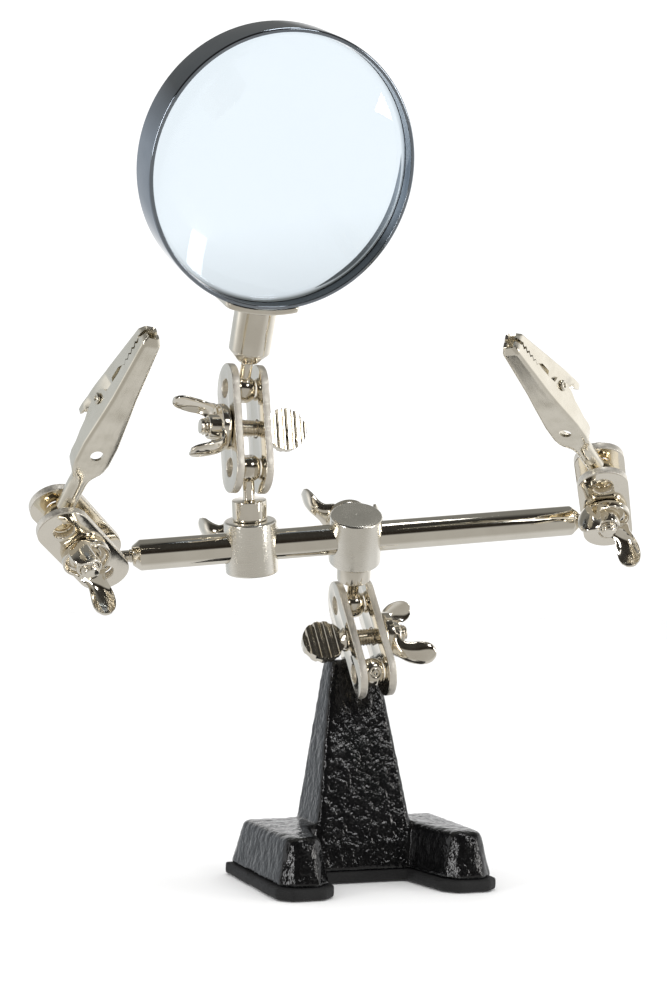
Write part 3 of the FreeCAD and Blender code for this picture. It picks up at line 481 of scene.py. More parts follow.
def softened(node, name, body, slot, rounds, only_feet=False):
    """A node's shape on an even mesh, its arrises worn round, perhaps only on the feet."""
    source = frame["nodes"][node]
    piece = bpy.data.objects.new(name, source.data.copy())
    bpy.context.scene.collection.objects.link(piece)
    voxels = piece.modifiers.new("Voxels", "REMESH")
    voxels.mode = "VOXEL"
    voxels.voxel_size = CAST_VOXEL
    calm = piece.modifiers.new("Calm", "SMOOTH")
    calm.factor = 0.5
    calm.iterations = 5
    apply_modifiers(piece)
    if only_feet:
        group = piece.vertex_groups.new(name="feet")
        for vertex in piece.data.vertices:
            spot = vertex.co
            low = 1 - smoothstep(FOOT_TOP - FADE, FOOT_TOP + FADE, spot.z)
            low *= smoothstep(SOLE_KEPT, SOLE_FREE, spot.z)
            side = smoothstep(COLUMN_SIDE - FADE, COLUMN_SIDE + FADE, abs(spot.x))
            group.add([vertex.index], low * side, "REPLACE")
    worn = piece.modifiers.new("Worn", "SMOOTH")
    worn.factor = 0.5
    worn.iterations = rounds
    if only_feet:
        worn.vertex_group = "feet"
    apply_modifiers(piece)
    piece.vertex_groups.clear()
    piece.data.materials.clear()
    piece.data.materials.append(LOOKS[slot])
    piece.data.shade_smooth()
    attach(piece, body)
    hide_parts(node)
    return piece


def make_base():
    """The casting with its rounded arrises and the lumps that thick wrinkle paint leaves."""
    piece = softened("base_casting", "cast_base", "base", "black_paint", 60, only_feet=True)
    mesh = piece.data
    normals = [vertex.normal.copy() for vertex in mesh.vertices]
    for vertex, normal in zip(mesh.vertices, normals):
        spot = Vector((vertex.co.x, vertex.co.y, vertex.co.z * 0.7)) * 1000
        lump = noise.noise(spot * 0.45) + 0.7 * noise.noise(spot * 1.05)
        lump = lump + 0.6 * abs(noise.noise(spot * 1.9))
        vertex.co += normal * (lump * CAST_LUMP)
    softened("base_pad", "rubber_pad", "base", "base_rubber", 8)


# --- ball studs -----------------------------------------------------------------------------

BALL, NECK, SHANK, COLLAR, FLAT_ANGLE = 3.25, 1.35, 2.0, 3.95, 57.0
CARRIER_REACH = 18.0


def ball_profile(neck):
    """From the parted-off flat with its centre mark round the ball to the neck, as (r, z)."""
    flat = BALL * math.cos(math.radians(FLAT_ANGLE))
    level = -BALL * math.sin(math.radians(FLAT_ANGLE))
    profile = [(0, level + 0.25), (0.22, level + 0.05), (0.3, level), (flat * 0.55, level),
               (flat * 0.58, level + 0.04), (flat * 0.62, level)]
    start = -FLAT_ANGLE
    end = math.degrees(math.acos(neck / BALL))
    for step in range(25):
        angle = math.radians(start + (end - start) * step / 24)
        profile.append((BALL * math.cos(angle), BALL * math.sin(angle)))
    return profile


def make_stud(node, place, body, lengths, slot="turned_nickel"):
    """A turned stud: its ball, then (radius, from, to) lengths along +Z with broken corners."""
    bm = bmesh.new()
    corners = []
    for radius, low, high in lengths:
        corners += [(radius, low), (radius, high)]
    corners.append((0, lengths[-1][2]))
    start = ball_profile(lengths[0][0])
    lathe(bm, start + rounded([start[-1]] + corners, 0.25)[1:])
    make_piece(node + "_turned", bm, place, body, [node], slot)


def make_studs():
    below = Matrix.Translation((0, 0, -CARRIER_REACH * MM))
    carrier = [(NECK, 3.0, 7.2), (COLLAR, 7.2, 11.8), (SHANK, 11.8, 13.9)]
    make_stud("base_ball_stud", BASE_STUD, "base_stud", [(NECK, 3.0, 8.2), (SHANK, 8.2, 15.0)])
    make_stud("cross_clamp_ball_stud", CROSS @ below, "cross_stud", carrier)
    make_stud("slider_ball_stud", SLIDER @ below, "slider_stud", carrier)
    for side in ("left", "right"):
        make_stud(f"crossbar_{side}_ball", BALLS[side], f"{side}_bar_ball",
                  [(NECK, 3.0, 6.65), (1.5, 6.65, 7.15), (NECK, 7.15, 13.5)])
        make_stud(f"{side}_clip_ball_stud", CLIPS[side], f"{side}_clip_stud",
                  [(NECK, 3.0, 10.4)], "stud_brass")
    make_stud("magnifier_ball_stud", MAGNIFIER, "magnifier_stud", [(NECK, 3.0, 10.6)])


# --- ball clamps ----------------------------------------------------------------------------

PITCH, GAP, PLATE, WIDTH, SEAT, HOLE = 18.6, 5.0, 1.8, 11.4, 2.2, 2.15
SHOULDER = GAP / 2 + PLATE + 0.12
RIB_START, RIB_PITCH = -4.6, 2.15


def closed_spline(curve, points):
    spline = curve.splines.new("POLY")
    spline.points.add(len(points) - 1)
    for item, (x, y) in zip(spline.points, points):
        item.co = (x, y, 0, 1)
    spline.use_cyclic_u = True


def circle_points(centre, radius, count=40):
    return [(centre + radius * math.cos(2 * math.pi * index / count),
             radius * math.sin(2 * math.pi * index / count)) for index in range(count)]


def plate_mesh():
    """A flat obround with rounded arrises, two ball seats and a screw hole; its faces are +-Z."""
    soft = 0.22
    curve = bpy.data.curves.new("plate", "CURVE")
    curve.dimensions = "2D"
    curve.fill_mode = "BOTH"
    half = WIDTH / 2 - soft
    outline = []
    for index in range(33):
        angle = math.radians(-90 + 180 * index / 32)
        outline.append((PITCH / 2 + half * math.cos(angle), half * math.sin(angle)))
    outline += [(-x, -y) for x, y in outline]
    closed_spline(curve, outline)
    closed_spline(curve, circle_points(PITCH / 2, SEAT + soft))
    closed_spline(curve, circle_points(-PITCH / 2, SEAT + soft))
    closed_spline(curve, circle_points(0, HOLE + soft))
    curve.extrude = PLATE / 2 - soft
    curve.bevel_depth = soft
    curve.bevel_resolution = 2
    return curve_mesh("plate", curve)


def make_plates(side, source):
    """Both plates of a clamp, laid out with their long axis along the clamp's Z."""
    lie = Matrix(((0, 0, 1), (0, 1, 0), (1, 0, 0))).to_4x4()
    for which, sign in (("nut", 1), ("head", -1)):
        node = f"{side}_clamp_{which}_plate"
        bm = bmesh.new()
        bm.from_mesh(source)
        shift = Matrix.Translation((sign * (GAP + PLATE) / 2 * MM, 0, 0))
        make_piece(node + "_pressed", bm, CLAMPS[side] @ shift @ lie, f"{side}_clamp", [node],
                   "plate_nickel", angle=50)


def thread(bm, start, end, radius=1.95, depth=0.43, pitch=0.7, sides=40, turn=None):
    """A helical thread about X from start to end, closed at both ends."""
    rings = []
    steps = int((end - start) / (pitch / 8))
    for step in range(steps + 1):
        x = start + (end - start) * step / steps
        ring = []
        for index in range(sides):
            phase = (x / pitch - index / sides) % 1.0
            tooth = 1 - abs(2 * phase - 1)
            fade = min(1.0, (end - x) / (pitch * 1.2) + 0.12)
            size = radius - depth + depth * min(1.0, tooth * 1.5) * fade
            angle = 2 * math.pi * index / sides
            point = Vector((x, size * math.cos(angle), size * math.sin(angle)))
            ring.append(bm.verts.new(turn @ point if turn is not None else point))
        rings.append(ring)
    skin(bm, rings)
    bm.faces.new(rings[0])
    bm.faces.new(list(reversed(rings[-1])))


def paddle(bm):
    """The thumbscrew's ribbed disc, on edge in the plane of the screw."""
    radius, half, depth = 4.9, 1.2, 0.45
    grooves = [RIB_START + RIB_PITCH * rib for rib in range(4)]
    centre = -(SHOULDER + radius + 0.06)
    edges = [-radius * 0.985, RIB_START]
    for low in grooves:
        edges += [low + 0.01, low + 0.3, low + 0.85, low + 1.15]
        edges += [low + 1.45, low + 1.85]
    edges = sorted(x for x in set(edges + [radius * 0.9, radius * 0.96, radius * 0.985])
                   if abs(x) < radius * 0.99)

    def sunk(x):
        for low in grooves:
            if low + 0.25 < x < low + 0.9:
                return depth
        return 0.0

    columns = 17
    for side in (1, -1):
        rows = []
        for x in edges:
            height = math.sqrt(radius * radius - x * x)
            row = []
            for index in range(columns):
                t = math.sin(math.pi * (index / (columns - 1) - 0.5))
                y = side * (half - sunk(x))
                row.append(bm.verts.new((centre + x, y, height * t)))
            rows.append(row)
        grid_faces(bm, rows)
    bmesh.ops.remove_doubles(bm, verts=bm.verts, dist=1e-5)
    border = [edge for edge in bm.edges if edge.is_boundary]
    bmesh.ops.bridge_loops(bm, edges=border)


def make_thumbscrew(side):
    node = f"{side}_clamp_thumbscrew"
    bm = bmesh.new()
    paddle(bm)
    neck = rounded([(0, -SHOULDER - 1.3), (1.9, -SHOULDER - 1.2), (2.85, -SHOULDER),
                    (1.95, -SHOULDER), (1.95, -SHOULDER + 0.6), (0, -SHOULDER + 0.6)], 0.15)
    lathe(bm, neck, about="X", segments=48)
    thread(bm, -SHOULDER + 0.5, 10.65)
    make_piece(node + "_ribbed", bm, CLAMPS[side], f"{side}_clamp_thumbscrew", [node],
               "stamped_nickel", bevel=0.1)


# --- butterflies ----------------------------------------------------------------------------

WING_ANGLES = {"lower": 27.0, "magnifier": -33.0, "left": 15.0, "right": -25.0, "cross": -16.0,
               "slider": -8.0}
WING_WIDTH, WING_SHEET = 6.2, 0.8
SCREW_SEAT = 6.5


def leaf_point(along, across):
    """A point of a leaf's outer skin and its inward direction: along 0..1 from dish to tip,
    across -1..1. The leaf leaves the dish flat and twists until it stands along the screw."""
    start, middle, end = Vector((0.9, 4.0)), Vector((1.3, 10.2)), Vector((10.5, 9.8))
    path = start * (1 - along) ** 2 + middle * 2 * along * (1 - along) + end * along ** 2
    slope = (middle - start) * (1 - along) + (end - middle) * along
    slope.normalize()
    inward = Vector((slope.y, 0, -slope.x))
    twist = math.radians(20) * smoothstep(0.0, 0.7, along)
    wide = Vector((0, math.cos(twist), 0)) + inward * math.sin(twist)
    sheer = inward * math.cos(twist) - Vector((0, math.sin(twist), 0))
    tip = max(0.0, (along - 0.72) / 0.28)
    half = WING_WIDTH / 2 * (1.0 - 0.3 * smoothstep(0.0, 0.35, along)
                             + 0.16 * smoothstep(0.4, 0.8, along))
    half *= math.sqrt(max(0.0, 1 - 0.85 * tip ** 4))
    curl = 1.25 * abs(across) ** 2.5 * (0.35 + 0.65 * (1 - tip))
    spot = Vector((path.x, 0, path.y)) + wide * (across * half) + sheer * curl
    return spot, sheer


def rim_of(rows):
    """The vertices round the edge of a grid, in order."""
    rim = rows[0] + [row[-1] for row in rows[1:]] + rows[-1][-2::-1]
    return rim + [row[0] for row in rows[-2:0:-1]]


def butterfly(bm, turn):
    """A pressed butterfly about X: a cupped dish, its threaded boss and two curled leaves."""
    dish = rounded([(0, 0.02), (4.6, 0.02), (5.3, 0.7), (5.3, 2.3), (4.7, 2.3), (4.3, 1.2),
                    (3.1, 1.0)], 0.5, 5)
    boss = rounded([(3.1, 1.0), (2.8, 4.2), (2.5, 4.6), (2.15, 4.6), (2.05, 4.3)], 0.3)
    lathe(bm, dish + boss[1:] + [(2.05, 1.0), (0, 1.0)], about="X", segments=56, turn=turn)
    rows_along, rows_across = 22, 12
    for flip in (1, -1):
        skins = []
        for depth in (0.0, WING_SHEET):
            rows = []
            for i in range(rows_along + 1):
                along = i / rows_along
                row = []
                for j in range(rows_across + 1):
                    across = -1 + 2 * j / rows_across
                    spot, sheer = leaf_point(along, across)
                    spot = spot + sheer * depth * (1 - 0.25 * abs(across) ** 4)
                    row.append(bm.verts.new(turn @ Vector((spot.x, spot.y * flip, spot.z * flip))))
                rows.append(row)
            skins.append(rows)
            grid_faces(bm, rows)
        skin(bm, [rim_of(rows) for rows in skins])


def make_wing_nut(side):
    node = f"{side}_clamp_wing_nut"
    bm = bmesh.new()
    turn = Matrix.Rotation(math.radians(-WING_ANGLES[side]), 3, "X")
    lifted = Matrix.Translation((SHOULDER, 0, 0)) @ turn.to_4x4()
    butterfly(bm, lifted)
    make_piece(node + "_stamped", bm, CLAMPS[side], node, [node], "stamped_nickel", bevel=0.12)


def make_wing_screw(carrier, place):
    node = f"{carrier}_wing_screw"
    bm = bmesh.new()
    side = "cross" if carrier == "cross_clamp" else "slider"
    lie = Matrix(((0, 0, 1), (1, 0, 0), (0, 1, 0)))
    turn = (lie @ Matrix.Rotation(math.radians(-WING_ANGLES[side]), 3, "X")).to_4x4()
    butterfly(bm, turn @ Matrix.Translation((SCREW_SEAT, 0, 0)))
    thread(bm, 3.62, SCREW_SEAT + 0.4, turn=turn)
    lathe(bm, rounded([(0, SCREW_SEAT + 5.5), (1.7, SCREW_SEAT + 5.5), (1.95, SCREW_SEAT + 5.2),
                       (1.95, SCREW_SEAT + 0.4), (0, SCREW_SEAT + 0.4)], 0.1), about="X",
          turn=turn)
    make_piece(node + "_stamped", bm, place, node, [node], "stamped_nickel", bevel=0.12)


def make_clamps():
    source = plate_mesh()
    for side in CLAMPS:
        make_plates(side, source)
        make_thumbscrew(side)
        make_wing_nut(side)


# --- crossbar and carriers ------------------------------------------------------------------


def make_bar():
    bm = bmesh.new()
    left, right, radius, tip, cone, hole = -49.3, 51.9, 3.5, 2.1, 1.8, 1.4
    profile = [(0, left + 4), (hole, left + 4), (hole, left - cone), (tip, left - cone),
               (radius, left), (radius, right), (tip, right + cone), (hole, right + cone),
               (hole, right - 4), (0, right - 4)]
    lathe(bm, rounded(profile, 0.3), segments=96)
    make_piece("crossbar_polished", bm, BAR, "crossbar", ["crossbar"], "bar_nickel")


def make_carrier(carrier, place, body):
    """A turned drum, faced at both ends, with the bar's bore and the screw's hole through it."""
    node = f"{carrier}_body"
    bm = bmesh.new()
    profile = [(0, -6.1), (2.05, -6.1), (5.6, -6.1), (6.0, -5.75), (6.0, 5.75), (5.6, 6.1),
               (0.35, 6.1), (0, 6.0)]
    lathe(bm, rounded(profile, 0.2), segments=96)
    piece = make_piece(node + "_turned", bm, place, body, [node], "satin_nickel", angle=32)
    bore(piece, [(0, -8), (3.55, -8), (3.55, 8), (0, 8)], about="X", segments=80)
    bore(piece, [(0, 0), (2.02, 0), (2.02, 8), (0, 8)], about="Y", segments=48)
    bore(piece, [(0, -8), (2.05, -8), (2.05, -4), (0, -4)], segments=48)
    smooth_by_angle(piece.data, 32)


def make_carriers():
    make_carrier("cross_clamp", CROSS, "cross_clamp")
    make_carrier("slider", SLIDER, "slider")
    make_wing_screw("cross_clamp", CROSS)
    make_wing_screw("slider", SLIDER)


# --- magnifier ------------------------------------------------------------------------------

RING, WALL, RING_WIDTH, REACH, SADDLE = 30.2, 0.9, 9.6, 50.4, 1.2


def make_ring():
    """The chromed band, rolled in at the front to hold the lens and plain at the back."""
    half = RING_WIDTH / 2
    inner = RING - WALL
    profile = [(inner, half - 0.05), (RING - 0.1, half), (RING, half - 0.3), (RING, -half + 0.35),
               (RING - 0.25, -half), (inner, -half), (inner - 0.05, -half + 0.4),
               (inner, -half + 0.8)]
    profile = rounded(profile + [profile[0]], 0.2, 4)
    bm = bmesh.new()
    lathe(bm, profile, about="Y", segments=160, centre=(0, 0, REACH))
    make_piece("lens_ring_rolled", bm, MAGNIFIER, "magnifier", ["lens_ring"], "ring_chrome",
               angle=50)


def make_lens():
    radius, half_edge, sag, plane = 29.2, 1.1, 2.6, -0.6
    curve = (radius * radius + sag * sag) / (2 * sag)

    def face(sign):
        points = []
        for step in range(33):
            out = radius * 0.995 * step / 32
            rise = math.sqrt(curve * curve - out * out) - (curve - sag)
            points.append((out, plane + sign * (half_edge + rise)))
        return points

    front = face(-1)
    rear = face(1)
    edge = [(radius, plane - half_edge + 0.1), (radius, plane + half_edge - 0.1)]
    bm = bmesh.new()
    lathe(bm, front + edge + rear[::-1], about="Y", segments=160, centre=(0, 0, REACH))
    make_piece("lens_ground", bm, MAGNIFIER, "magnifier", ["lens"], "lens_glass")


def make_saddle():
    """The curved plate brazed under the ring, with rounded corners."""
    half_width, half_depth, corner = 8.7, RING_WIDTH / 2, 1.2
    across, deep = 24, 12
    bm = bmesh.new()
    for outer in (False, True):
        radius = RING + 0.02 + (SADDLE - 0.02 if outer else 0.0)
        rows = []
        for i in range(across + 1):
            x = half_width * (2 * i / across - 1)
            near = max(0.0, abs(x) - (half_width - corner))
            reach = half_depth - (corner - math.sqrt(max(0.0, corner * corner - near * near)))
            row = []
            for j in range(deep + 1):
                y = reach * (2 * j / deep - 1)
                row.append(bm.verts.new((x, y, REACH - math.sqrt(radius * radius - x * x))))
            rows.append(row)
        grid_faces(bm, rows)
    border = [edge for edge in bm.edges if edge.is_boundary]
    bmesh.ops.bridge_loops(bm, edges=border)
    make_piece("ring_saddle_pressed", bm, MAGNIFIER, "magnifier", ["ring_saddle"],
               "handle_nickel", bevel=0.2)


def make_handle():
    profile = [(0, 10.9), (1.4, 10.9), (1.4, 6.6), (2.2, 6.6), (4.7, 9.3), (4.7, 19.5), (0, 19.5)]
    bm = bmesh.new()
    lathe(bm, rounded(profile, 0.25), segments=72)
    piece = make_piece("handle_turned", bm, MAGNIFIER, "magnifier", ["magnifier_handle"],
                       "handle_nickel")
    bore(piece, [(0, -20), (RING + SADDLE, -20), (RING + SADDLE, 20), (0, 20)], about="Y",
         segments=200, centre=(0, 0, REACH))
    smooth_by_angle(piece.data, 40)


# --- crocodile clips ------------------------------------------------------------------------

JAW, TOOTH_PITCH, TOOTH_DEPTH = -0.9, 1.5, 0.7
TAIL, BARREL_END, SHOULDERS, PIVOT, LENGTH, PIVOT_DEPTH = 3.4, 11.0, 18.0, 31.5, 51.5, 2.6
SHEET, TEETH_START = 0.62, 42.0


def along_table(table, value):
    """A value read off (position, amount) pairs, straight between them."""
    if value <= table[0][0]:
        return table[0][1]
    for (x0, y0), (x1, y1) in zip(table, table[1:]):
        if value <= x1:
            return y0 + (y1 - y0) * (value - x0) / (x1 - x0)
    return table[-1][1]


def channel(half, top, low, corner, wall=5, arc=5, flat=5):
    """A U of (x, y) points, open downwards: down-left, over the back, down-right."""
    right = []
    for index in range(flat):
        right.append(((half - corner) * index / (flat - 1), top))
    for index in range(1, arc + 1):
        angle = math.radians(90 - 90 * index / arc)
        right.append((half - corner + corner * math.cos(angle),
                      top - corner + corner * math.sin(angle)))
    for index in range(1, wall + 1):
        right.append((half, (top - corner) + (low - top + corner) * index / wall))
    return [(-x, y) for x, y in reversed(right[1:])] + right


def tube(radius, opening, count):
    """A split tube of (x, y) points with its slit at the bottom."""
    points = []
    for index in range(count):
        angle = math.radians(-90 - opening / 2 - (360 - opening) * index / (count - 1))
        points.append((radius * math.cos(angle), radius * math.sin(angle)))
    return points


def tooth(z, start, end):
    """Height of the saw-toothed edge above its middle line."""
    if z < start or z > end:
        return 0.0
    phase = ((z - start) / TOOTH_PITCH) % 1.0
    return TOOTH_DEPTH * (0.5 - abs(2 * phase - 1))


def stations(marks, mouth_start, mouth_end):
    """Positions along a jaw: the marks, plus every tooth's root and tip."""
    spots = set(marks)
    z = mouth_start
    while z < mouth_end:
        spots.add(round(z, 4))
        z += TOOTH_PITCH / 2
    return sorted(spots)


def make_fixed_jaw(side):
    """The long jaw: one folded sheet, rolled into a tube round its stud at the tail."""
    mouth = TEETH_START
    widths = [(TAIL, 2.0), (BARREL_END + 1, 2.35), (SHOULDERS - 3, 3.35), (SHOULDERS, 3.85),
              (SHOULDERS + 5, 3.85), (PIVOT + 4.5, 2.6), (LENGTH - 1.2, 1.9), (LENGTH, 1.3)]
    backs = [(TAIL, 1.95), (BARREL_END, 2.0), (SHOULDERS, 2.4), (PIVOT, 2.4), (LENGTH - 1.5, 1.9),
             (LENGTH, 1.2)]
    lows = [(TAIL, -1.9), (SHOULDERS - 3, -1.6), (SHOULDERS + 3, -1.5), (PIVOT - 6, -2.6),
            (PIVOT - 4, -3.7), (PIVOT - 2, -4.25), (PIVOT, -4.25), (PIVOT + 1.5, -3.9),
            (PIVOT + 2.3, -3.1), (PIVOT + 3, -1.6), (mouth, JAW), (LENGTH, JAW + 0.4)]
    marks = [TAIL, 5, 7, 9, BARREL_END, 12, 13, 14, 15, 16, 17, SHOULDERS, 19, 20.5, 22, 23, 25,
             25.5, PIVOT - 5, PIVOT - 4, PIVOT - 3, PIVOT - 2, PIVOT - 1, PIVOT, PIVOT + 0.8,
             PIVOT + 1.5, PIVOT + 2, PIVOT + 2.3, PIVOT + 3, PIVOT + 4.5, 38, 40,
             LENGTH - 1.5, LENGTH - 1.2, LENGTH - 0.6, LENGTH]
    bm = bmesh.new()
    rows = []
    for z in stations(marks, mouth, LENGTH - 1.0):
        half = along_table(widths, z)
        low = along_table(lows, z) + 0.04 + tooth(z, mouth, LENGTH - 1.8)
        top = along_table(backs, z)
        folded = channel(half, top, low, min(0.75, half * 0.6))
        rolled = tube(2.0, 24, len(folded))
        blend = smoothstep(BARREL_END - 0.5, SHOULDERS - 2, z)
        row = []
        for (x0, y0), (x1, y1) in zip(rolled, folded):
            row.append(bm.verts.new((x0 + (x1 - x0) * blend, y0 + (y1 - y0) * blend, z)))
        rows.append(row)
    grid_faces(bm, rows)
    node = f"{side}_clip_fixed_jaw"
    piece = make_piece(node + "_folded", bm, CLIPS[side], f"{side}_clip", [node], "clip_nickel",
                       angle=40, thickness=SHEET)
    bore(piece, [(0, 0.5), (1.35, 0.5), (1.35, 4), (0, 4)], about="Y", segments=48,
         centre=(0, 0, 20.5))
    smooth_by_angle(piece.data, 40)


def make_moving_jaw(side):
    """The short jaw: a narrower channel that faces the first and ends in a thumb tab."""
    mouth = TEETH_START
    floor = -PIVOT_DEPTH - 2.4
    widths = [(PIVOT - 9, 2.4), (PIVOT - 8, 3.0), (PIVOT, 2.95), (PIVOT + 6, 2.6),
              (LENGTH - 1.2, 1.9), (LENGTH, 1.3)]
    floors = [(PIVOT - 8.4, floor - 3.6), (PIVOT - 6, floor - 3.3), (LENGTH - 1.5, -3.3),
              (LENGTH, -2.6)]
    mouths = [(PIVOT - 6, 3.0), (PIVOT - 4.5, 1.7), (PIVOT + 4.5, 1.7), (PIVOT + 6, 2.5),
              (LENGTH - 1.2, 1.9), (LENGTH, 1.3)]
    highs = [(PIVOT - 8.4, floor - 1.9), (PIVOT - 3.5, floor + 0.4), (PIVOT - 1.7, -1.2),
             (PIVOT + 1.5, -1.1), (PIVOT + 4.0, -2.5), (mouth - 1.5, -2.2), (mouth, JAW),
             (LENGTH, JAW - 0.4)]
    marks = [PIVOT - 8.4, PIVOT - 8.1, PIVOT - 7.4, PIVOT - 6.4, PIVOT - 5.6, PIVOT - 4.5,
             PIVOT - 3.5, PIVOT - 2.6, PIVOT - 1.7, PIVOT, PIVOT + 1.5, PIVOT + 2, PIVOT + 3.2,
             PIVOT + 4.0, PIVOT + 4.5, PIVOT + 6, mouth - 1.5,
             LENGTH - 1.5, LENGTH - 1.2, LENGTH - 0.6, LENGTH]
    bm = bmesh.new()
    rows = []
    for z in stations(marks, mouth, LENGTH - 1.0):
        half = along_table(widths, z)
        low = along_table(floors, z)
        high = along_table(highs, z) - 0.04 + tooth(z, mouth, LENGTH - 1.8)
        outline = channel(half, -low, -high, min(0.6, half * 0.5, (high - low) * 0.7))
        lean = min(1.0, along_table(mouths, z) / half)
        row = []
        for x, y in outline:
            depth = (y + high) / (high - low)
            row.append(bm.verts.new((x * (lean + (1 - lean) * depth), -y, z)))
        rows.append(row)
    grid_faces(bm, rows)
    node = f"{side}_clip_moving_jaw"
    make_piece(node + "_folded", bm, CLIPS[side], f"{side}_moving_jaw", [node], "clip_nickel",
               angle=40, thickness=SHEET)


def make_rivet(side):
    reach = 3.2
    dome = [(0, -reach + 0.1), (0.45, -reach), (0.55, -reach - 0.45), (1.0, -reach - 0.4),
            (1.25, -reach), (0.8, -reach), (0.8, reach), (1.25, reach), (1.0, reach + 0.4),
            (0.55, reach + 0.45), (0.45, reach), (0, reach - 0.1)]
    bm = bmesh.new()
    lathe(bm, rounded(dome, 0.15), about="X", segments=40, centre=(0, -PIVOT_DEPTH, PIVOT))
    node = f"{side}_clip_rivet"
    make_piece(node + "_domed", bm, CLIPS[side], f"{side}_clip", [node], "clip_nickel")


def make_spring(side):
    """A torsion spring wound round the rivet, with one leg under the fixed jaw's back."""
    wire, radius, turns = 0.27, 1.18, 3
    curve = bpy.data.curves.new("spring", "CURVE")
    curve.dimensions = "3D"
    curve.bevel_depth = wire
    curve.bevel_resolution = 3
    points = []
    for step in range(turns * 16 + 1):
        angle = 2 * math.pi * step / 16
        x = (step / 16 - turns / 2) * 0.42
        points.append((x, -PIVOT_DEPTH + radius * math.cos(angle),
                       PIVOT + radius * math.sin(angle)))
    points.append((points[-1][0], -PIVOT_DEPTH + radius + 0.5, PIVOT - 1.5))
    points.append((points[-1][0], -PIVOT_DEPTH + radius + 1.8, PIVOT - 5.3))
    spline = curve.splines.new("NURBS")
    spline.points.add(len(points) - 1)
    for item, point in zip(spline.points, points):
        item.co = (*point, 1)
    spline.order_u = 3
    spline.use_endpoint_u = True
    bm = bmesh.new()
    bm.from_mesh(curve_mesh("spring", curve))
    bmesh.ops.holes_fill(bm, edges=[edge for edge in bm.edges if edge.is_boundary])
    node = f"{side}_clip_spring"
    make_piece(node + "_wound", bm, CLIPS[side], f"{side}_clip", [node], "spring_steel")


def make_clips():
    for side in CLIPS:
        make_fixed_jaw(side)
        make_moving_jaw(side)
        make_rivet(side)
        make_spring(side)


# --- stage ----------------------------------------------------------------------------------

CAMERA_SPOT = Vector((-0.13299, -0.33715, 0.06536))
CAMERA_RIGHT = Vector((0.93768, -0.34703, 0.01822))
CAMERA_UP = Vector((-0.03727, -0.04832, 0.99814))
CAMERA_AHEAD = Vector((0.34551, 0.93661, 0.05825))
CAMERA_LENS = 56.83
FLOOR_REACH, FLOOR_DROP = 4.0, 0.0002
# name, place, what it points at, size, watts, tint
LAMPS = (
    ("top", (0.05, -0.1, 0.75), (0, 0, 0.08), (0.2, 0.12), 0.5, (1, 1, 1)),
    ("left", (-0.72, -0.3, 0.14), (0, 0, 0.06), (0.1, 0.5), 1.5, (1, 1, 1)),
    ("right", (0.62, -0.55, 0.14), (0, 0, 0.06), (0.1, 0.5), 1.5, (1.0, 0.98, 0.95)),
    ("fill", (0.27, -0.65, 0.46), (-0.03, 0, 0.1), (0.16, 0.16), 0.7, (1, 1, 1)),
)


def make_floor():
    bm = bmesh.new()
    bmesh.ops.create_grid(bm, x_segments=1, y_segments=1, size=FLOOR_REACH)
    mesh = bpy.data.meshes.new("floor")
    bm.to_mesh(mesh)
    bm.free()
    floor = bpy.data.objects.new("floor", mesh)
    bpy.context.scene.collection.objects.link(floor)
    material, tree, shader = node_tree("floor_paper")
    mottle = noise_map(tree, scaled_coordinates(tree, (1, 1, 1)), 30, detail=2.0)
    color = mix_colors(tree, mottle, (0.925, 0.925, 0.925), (0.94, 0.94, 0.94))
    tree.links.new(color, shader.inputs["Base Color"])
    shader.inputs["Roughness"].default_value = 0.9
    floor.data.materials.append(material)
    floor.location.z = -FLOOR_DROP
    floor.visible_glossy = False


def add_light(name, spot, target, size, power, tint):
    lamp = bpy.data.lights.new(name, "AREA")
    lamp.shape = "RECTANGLE"
    lamp.size, lamp.size_y = size
    lamp.energy = power
    lamp.color = tint
    holder = bpy.data.objects.new(name, lamp)
    holder.location = spot
    aim = Vector(target) - Vector(spot)
    holder.rotation_euler = aim.to_track_quat("-Z", "Y").to_euler()
    bpy.context.scene.collection.objects.link(holder)


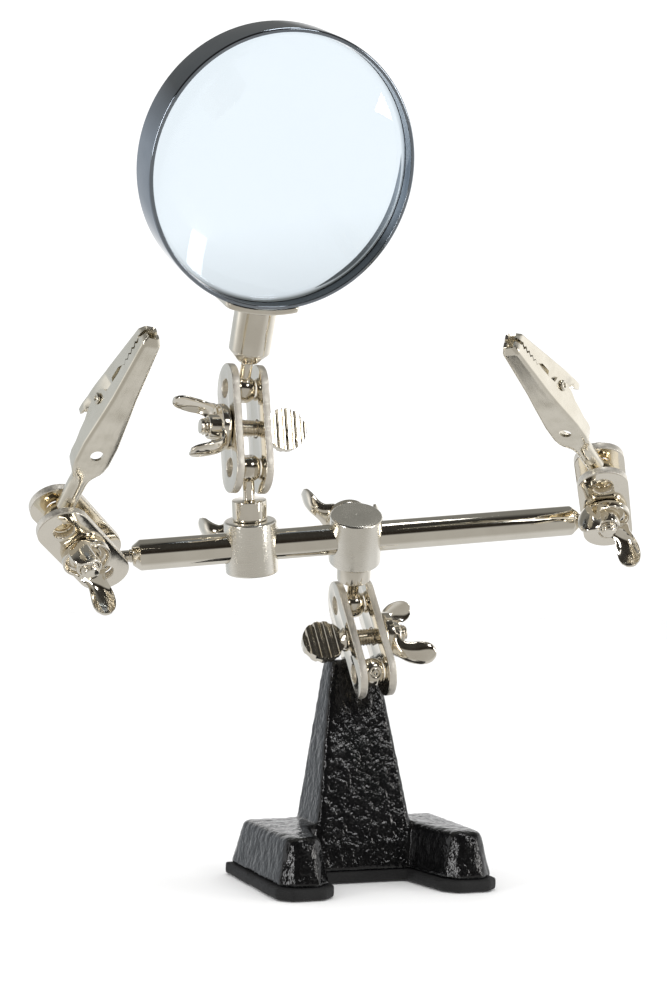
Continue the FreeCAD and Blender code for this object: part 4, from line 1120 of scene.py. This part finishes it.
def make_world():
    """An even white tent; metal also sees the dark of the room that the user stands in."""
    world = bpy.data.worlds.new("tent")
    bpy.context.scene.world = world
    world.use_nodes = True
    tree = world.node_tree
    background = tree.nodes["Background"]
    source = add(tree, "ShaderNodeTexCoord")
    split = add(tree, "ShaderNodeSeparateXYZ")
    tree.links.new(source.outputs["Generated"], split.inputs[0])
    height = split.outputs["Z"]
    front = add(tree, "ShaderNodeVectorMath", operation="DOT_PRODUCT")
    tree.links.new(source.outputs["Generated"], front.inputs[0])
    front.inputs[1].default_value = (-0.35, -0.935, 0.0)
    ahead = ramp(tree, front.outputs["Value"], -0.05, 0.35, 0.0, 1.0)
    near = mix_colors(tree, ramp(tree, height, -0.06, 0.1, 0.0, 1.0), (0.45, 0.44, 0.42),
                      (0.022, 0.018, 0.014))
    shade = add(tree, "ShaderNodeVectorMath", operation="DOT_PRODUCT")
    tree.links.new(source.outputs["Generated"], shade.inputs[0])
    shade.inputs[1].default_value = (-0.50, 0.85, 0.15)
    far = mix_colors(tree, ramp(tree, height, -0.3, 0.0, 0.0, 1.0), (0.66, 0.66, 0.66),
                     (1.12, 1.12, 1.12))
    far = mix_colors(tree, ramp(tree, shade.outputs["Value"], 0.8, 0.95, 0.0, 0.85), far,
                     (0.50, 0.54, 0.58))
    mirrored = mix_colors(tree, ahead, far, near)
    overhead = mix_colors(tree, ahead, (0.21, 0.21, 0.2), (0.035, 0.033, 0.03))
    mirrored = mix_colors(tree, ramp(tree, height, 0.3, 0.6, 0.0, 1.0), mirrored, overhead)
    path = add(tree, "ShaderNodeLightPath")
    color = mix_colors(tree, path.outputs["Is Glossy Ray"], (1.14, 1.14, 1.14), mirrored)
    tree.links.new(color, background.inputs["Color"])
    background.inputs["Strength"].default_value = 1.0


def make_camera():
    """A view from a little to the left and below the middle, looking slightly up."""
    camera = bpy.data.cameras.new("camera")
    camera.lens = CAMERA_LENS
    camera.sensor_width = 36.0
    camera.clip_start = 0.01
    holder = bpy.data.objects.new("camera", camera)
    place = Matrix((CAMERA_RIGHT, CAMERA_UP, -CAMERA_AHEAD)).transposed().to_4x4()
    place.translation = CAMERA_SPOT
    holder.matrix_world = place
    bpy.context.scene.collection.objects.link(holder)
    bpy.context.scene.camera = holder
    bpy.context.scene.view_settings.view_transform = "Standard"


make_base()
make_studs()
make_clamps()
make_bar()
make_carriers()
make_ring()
make_lens()
make_saddle()
make_handle()
make_clips()
make_floor()
make_world()
for lamp_row in LAMPS:
    add_light(*lamp_row)
make_camera()
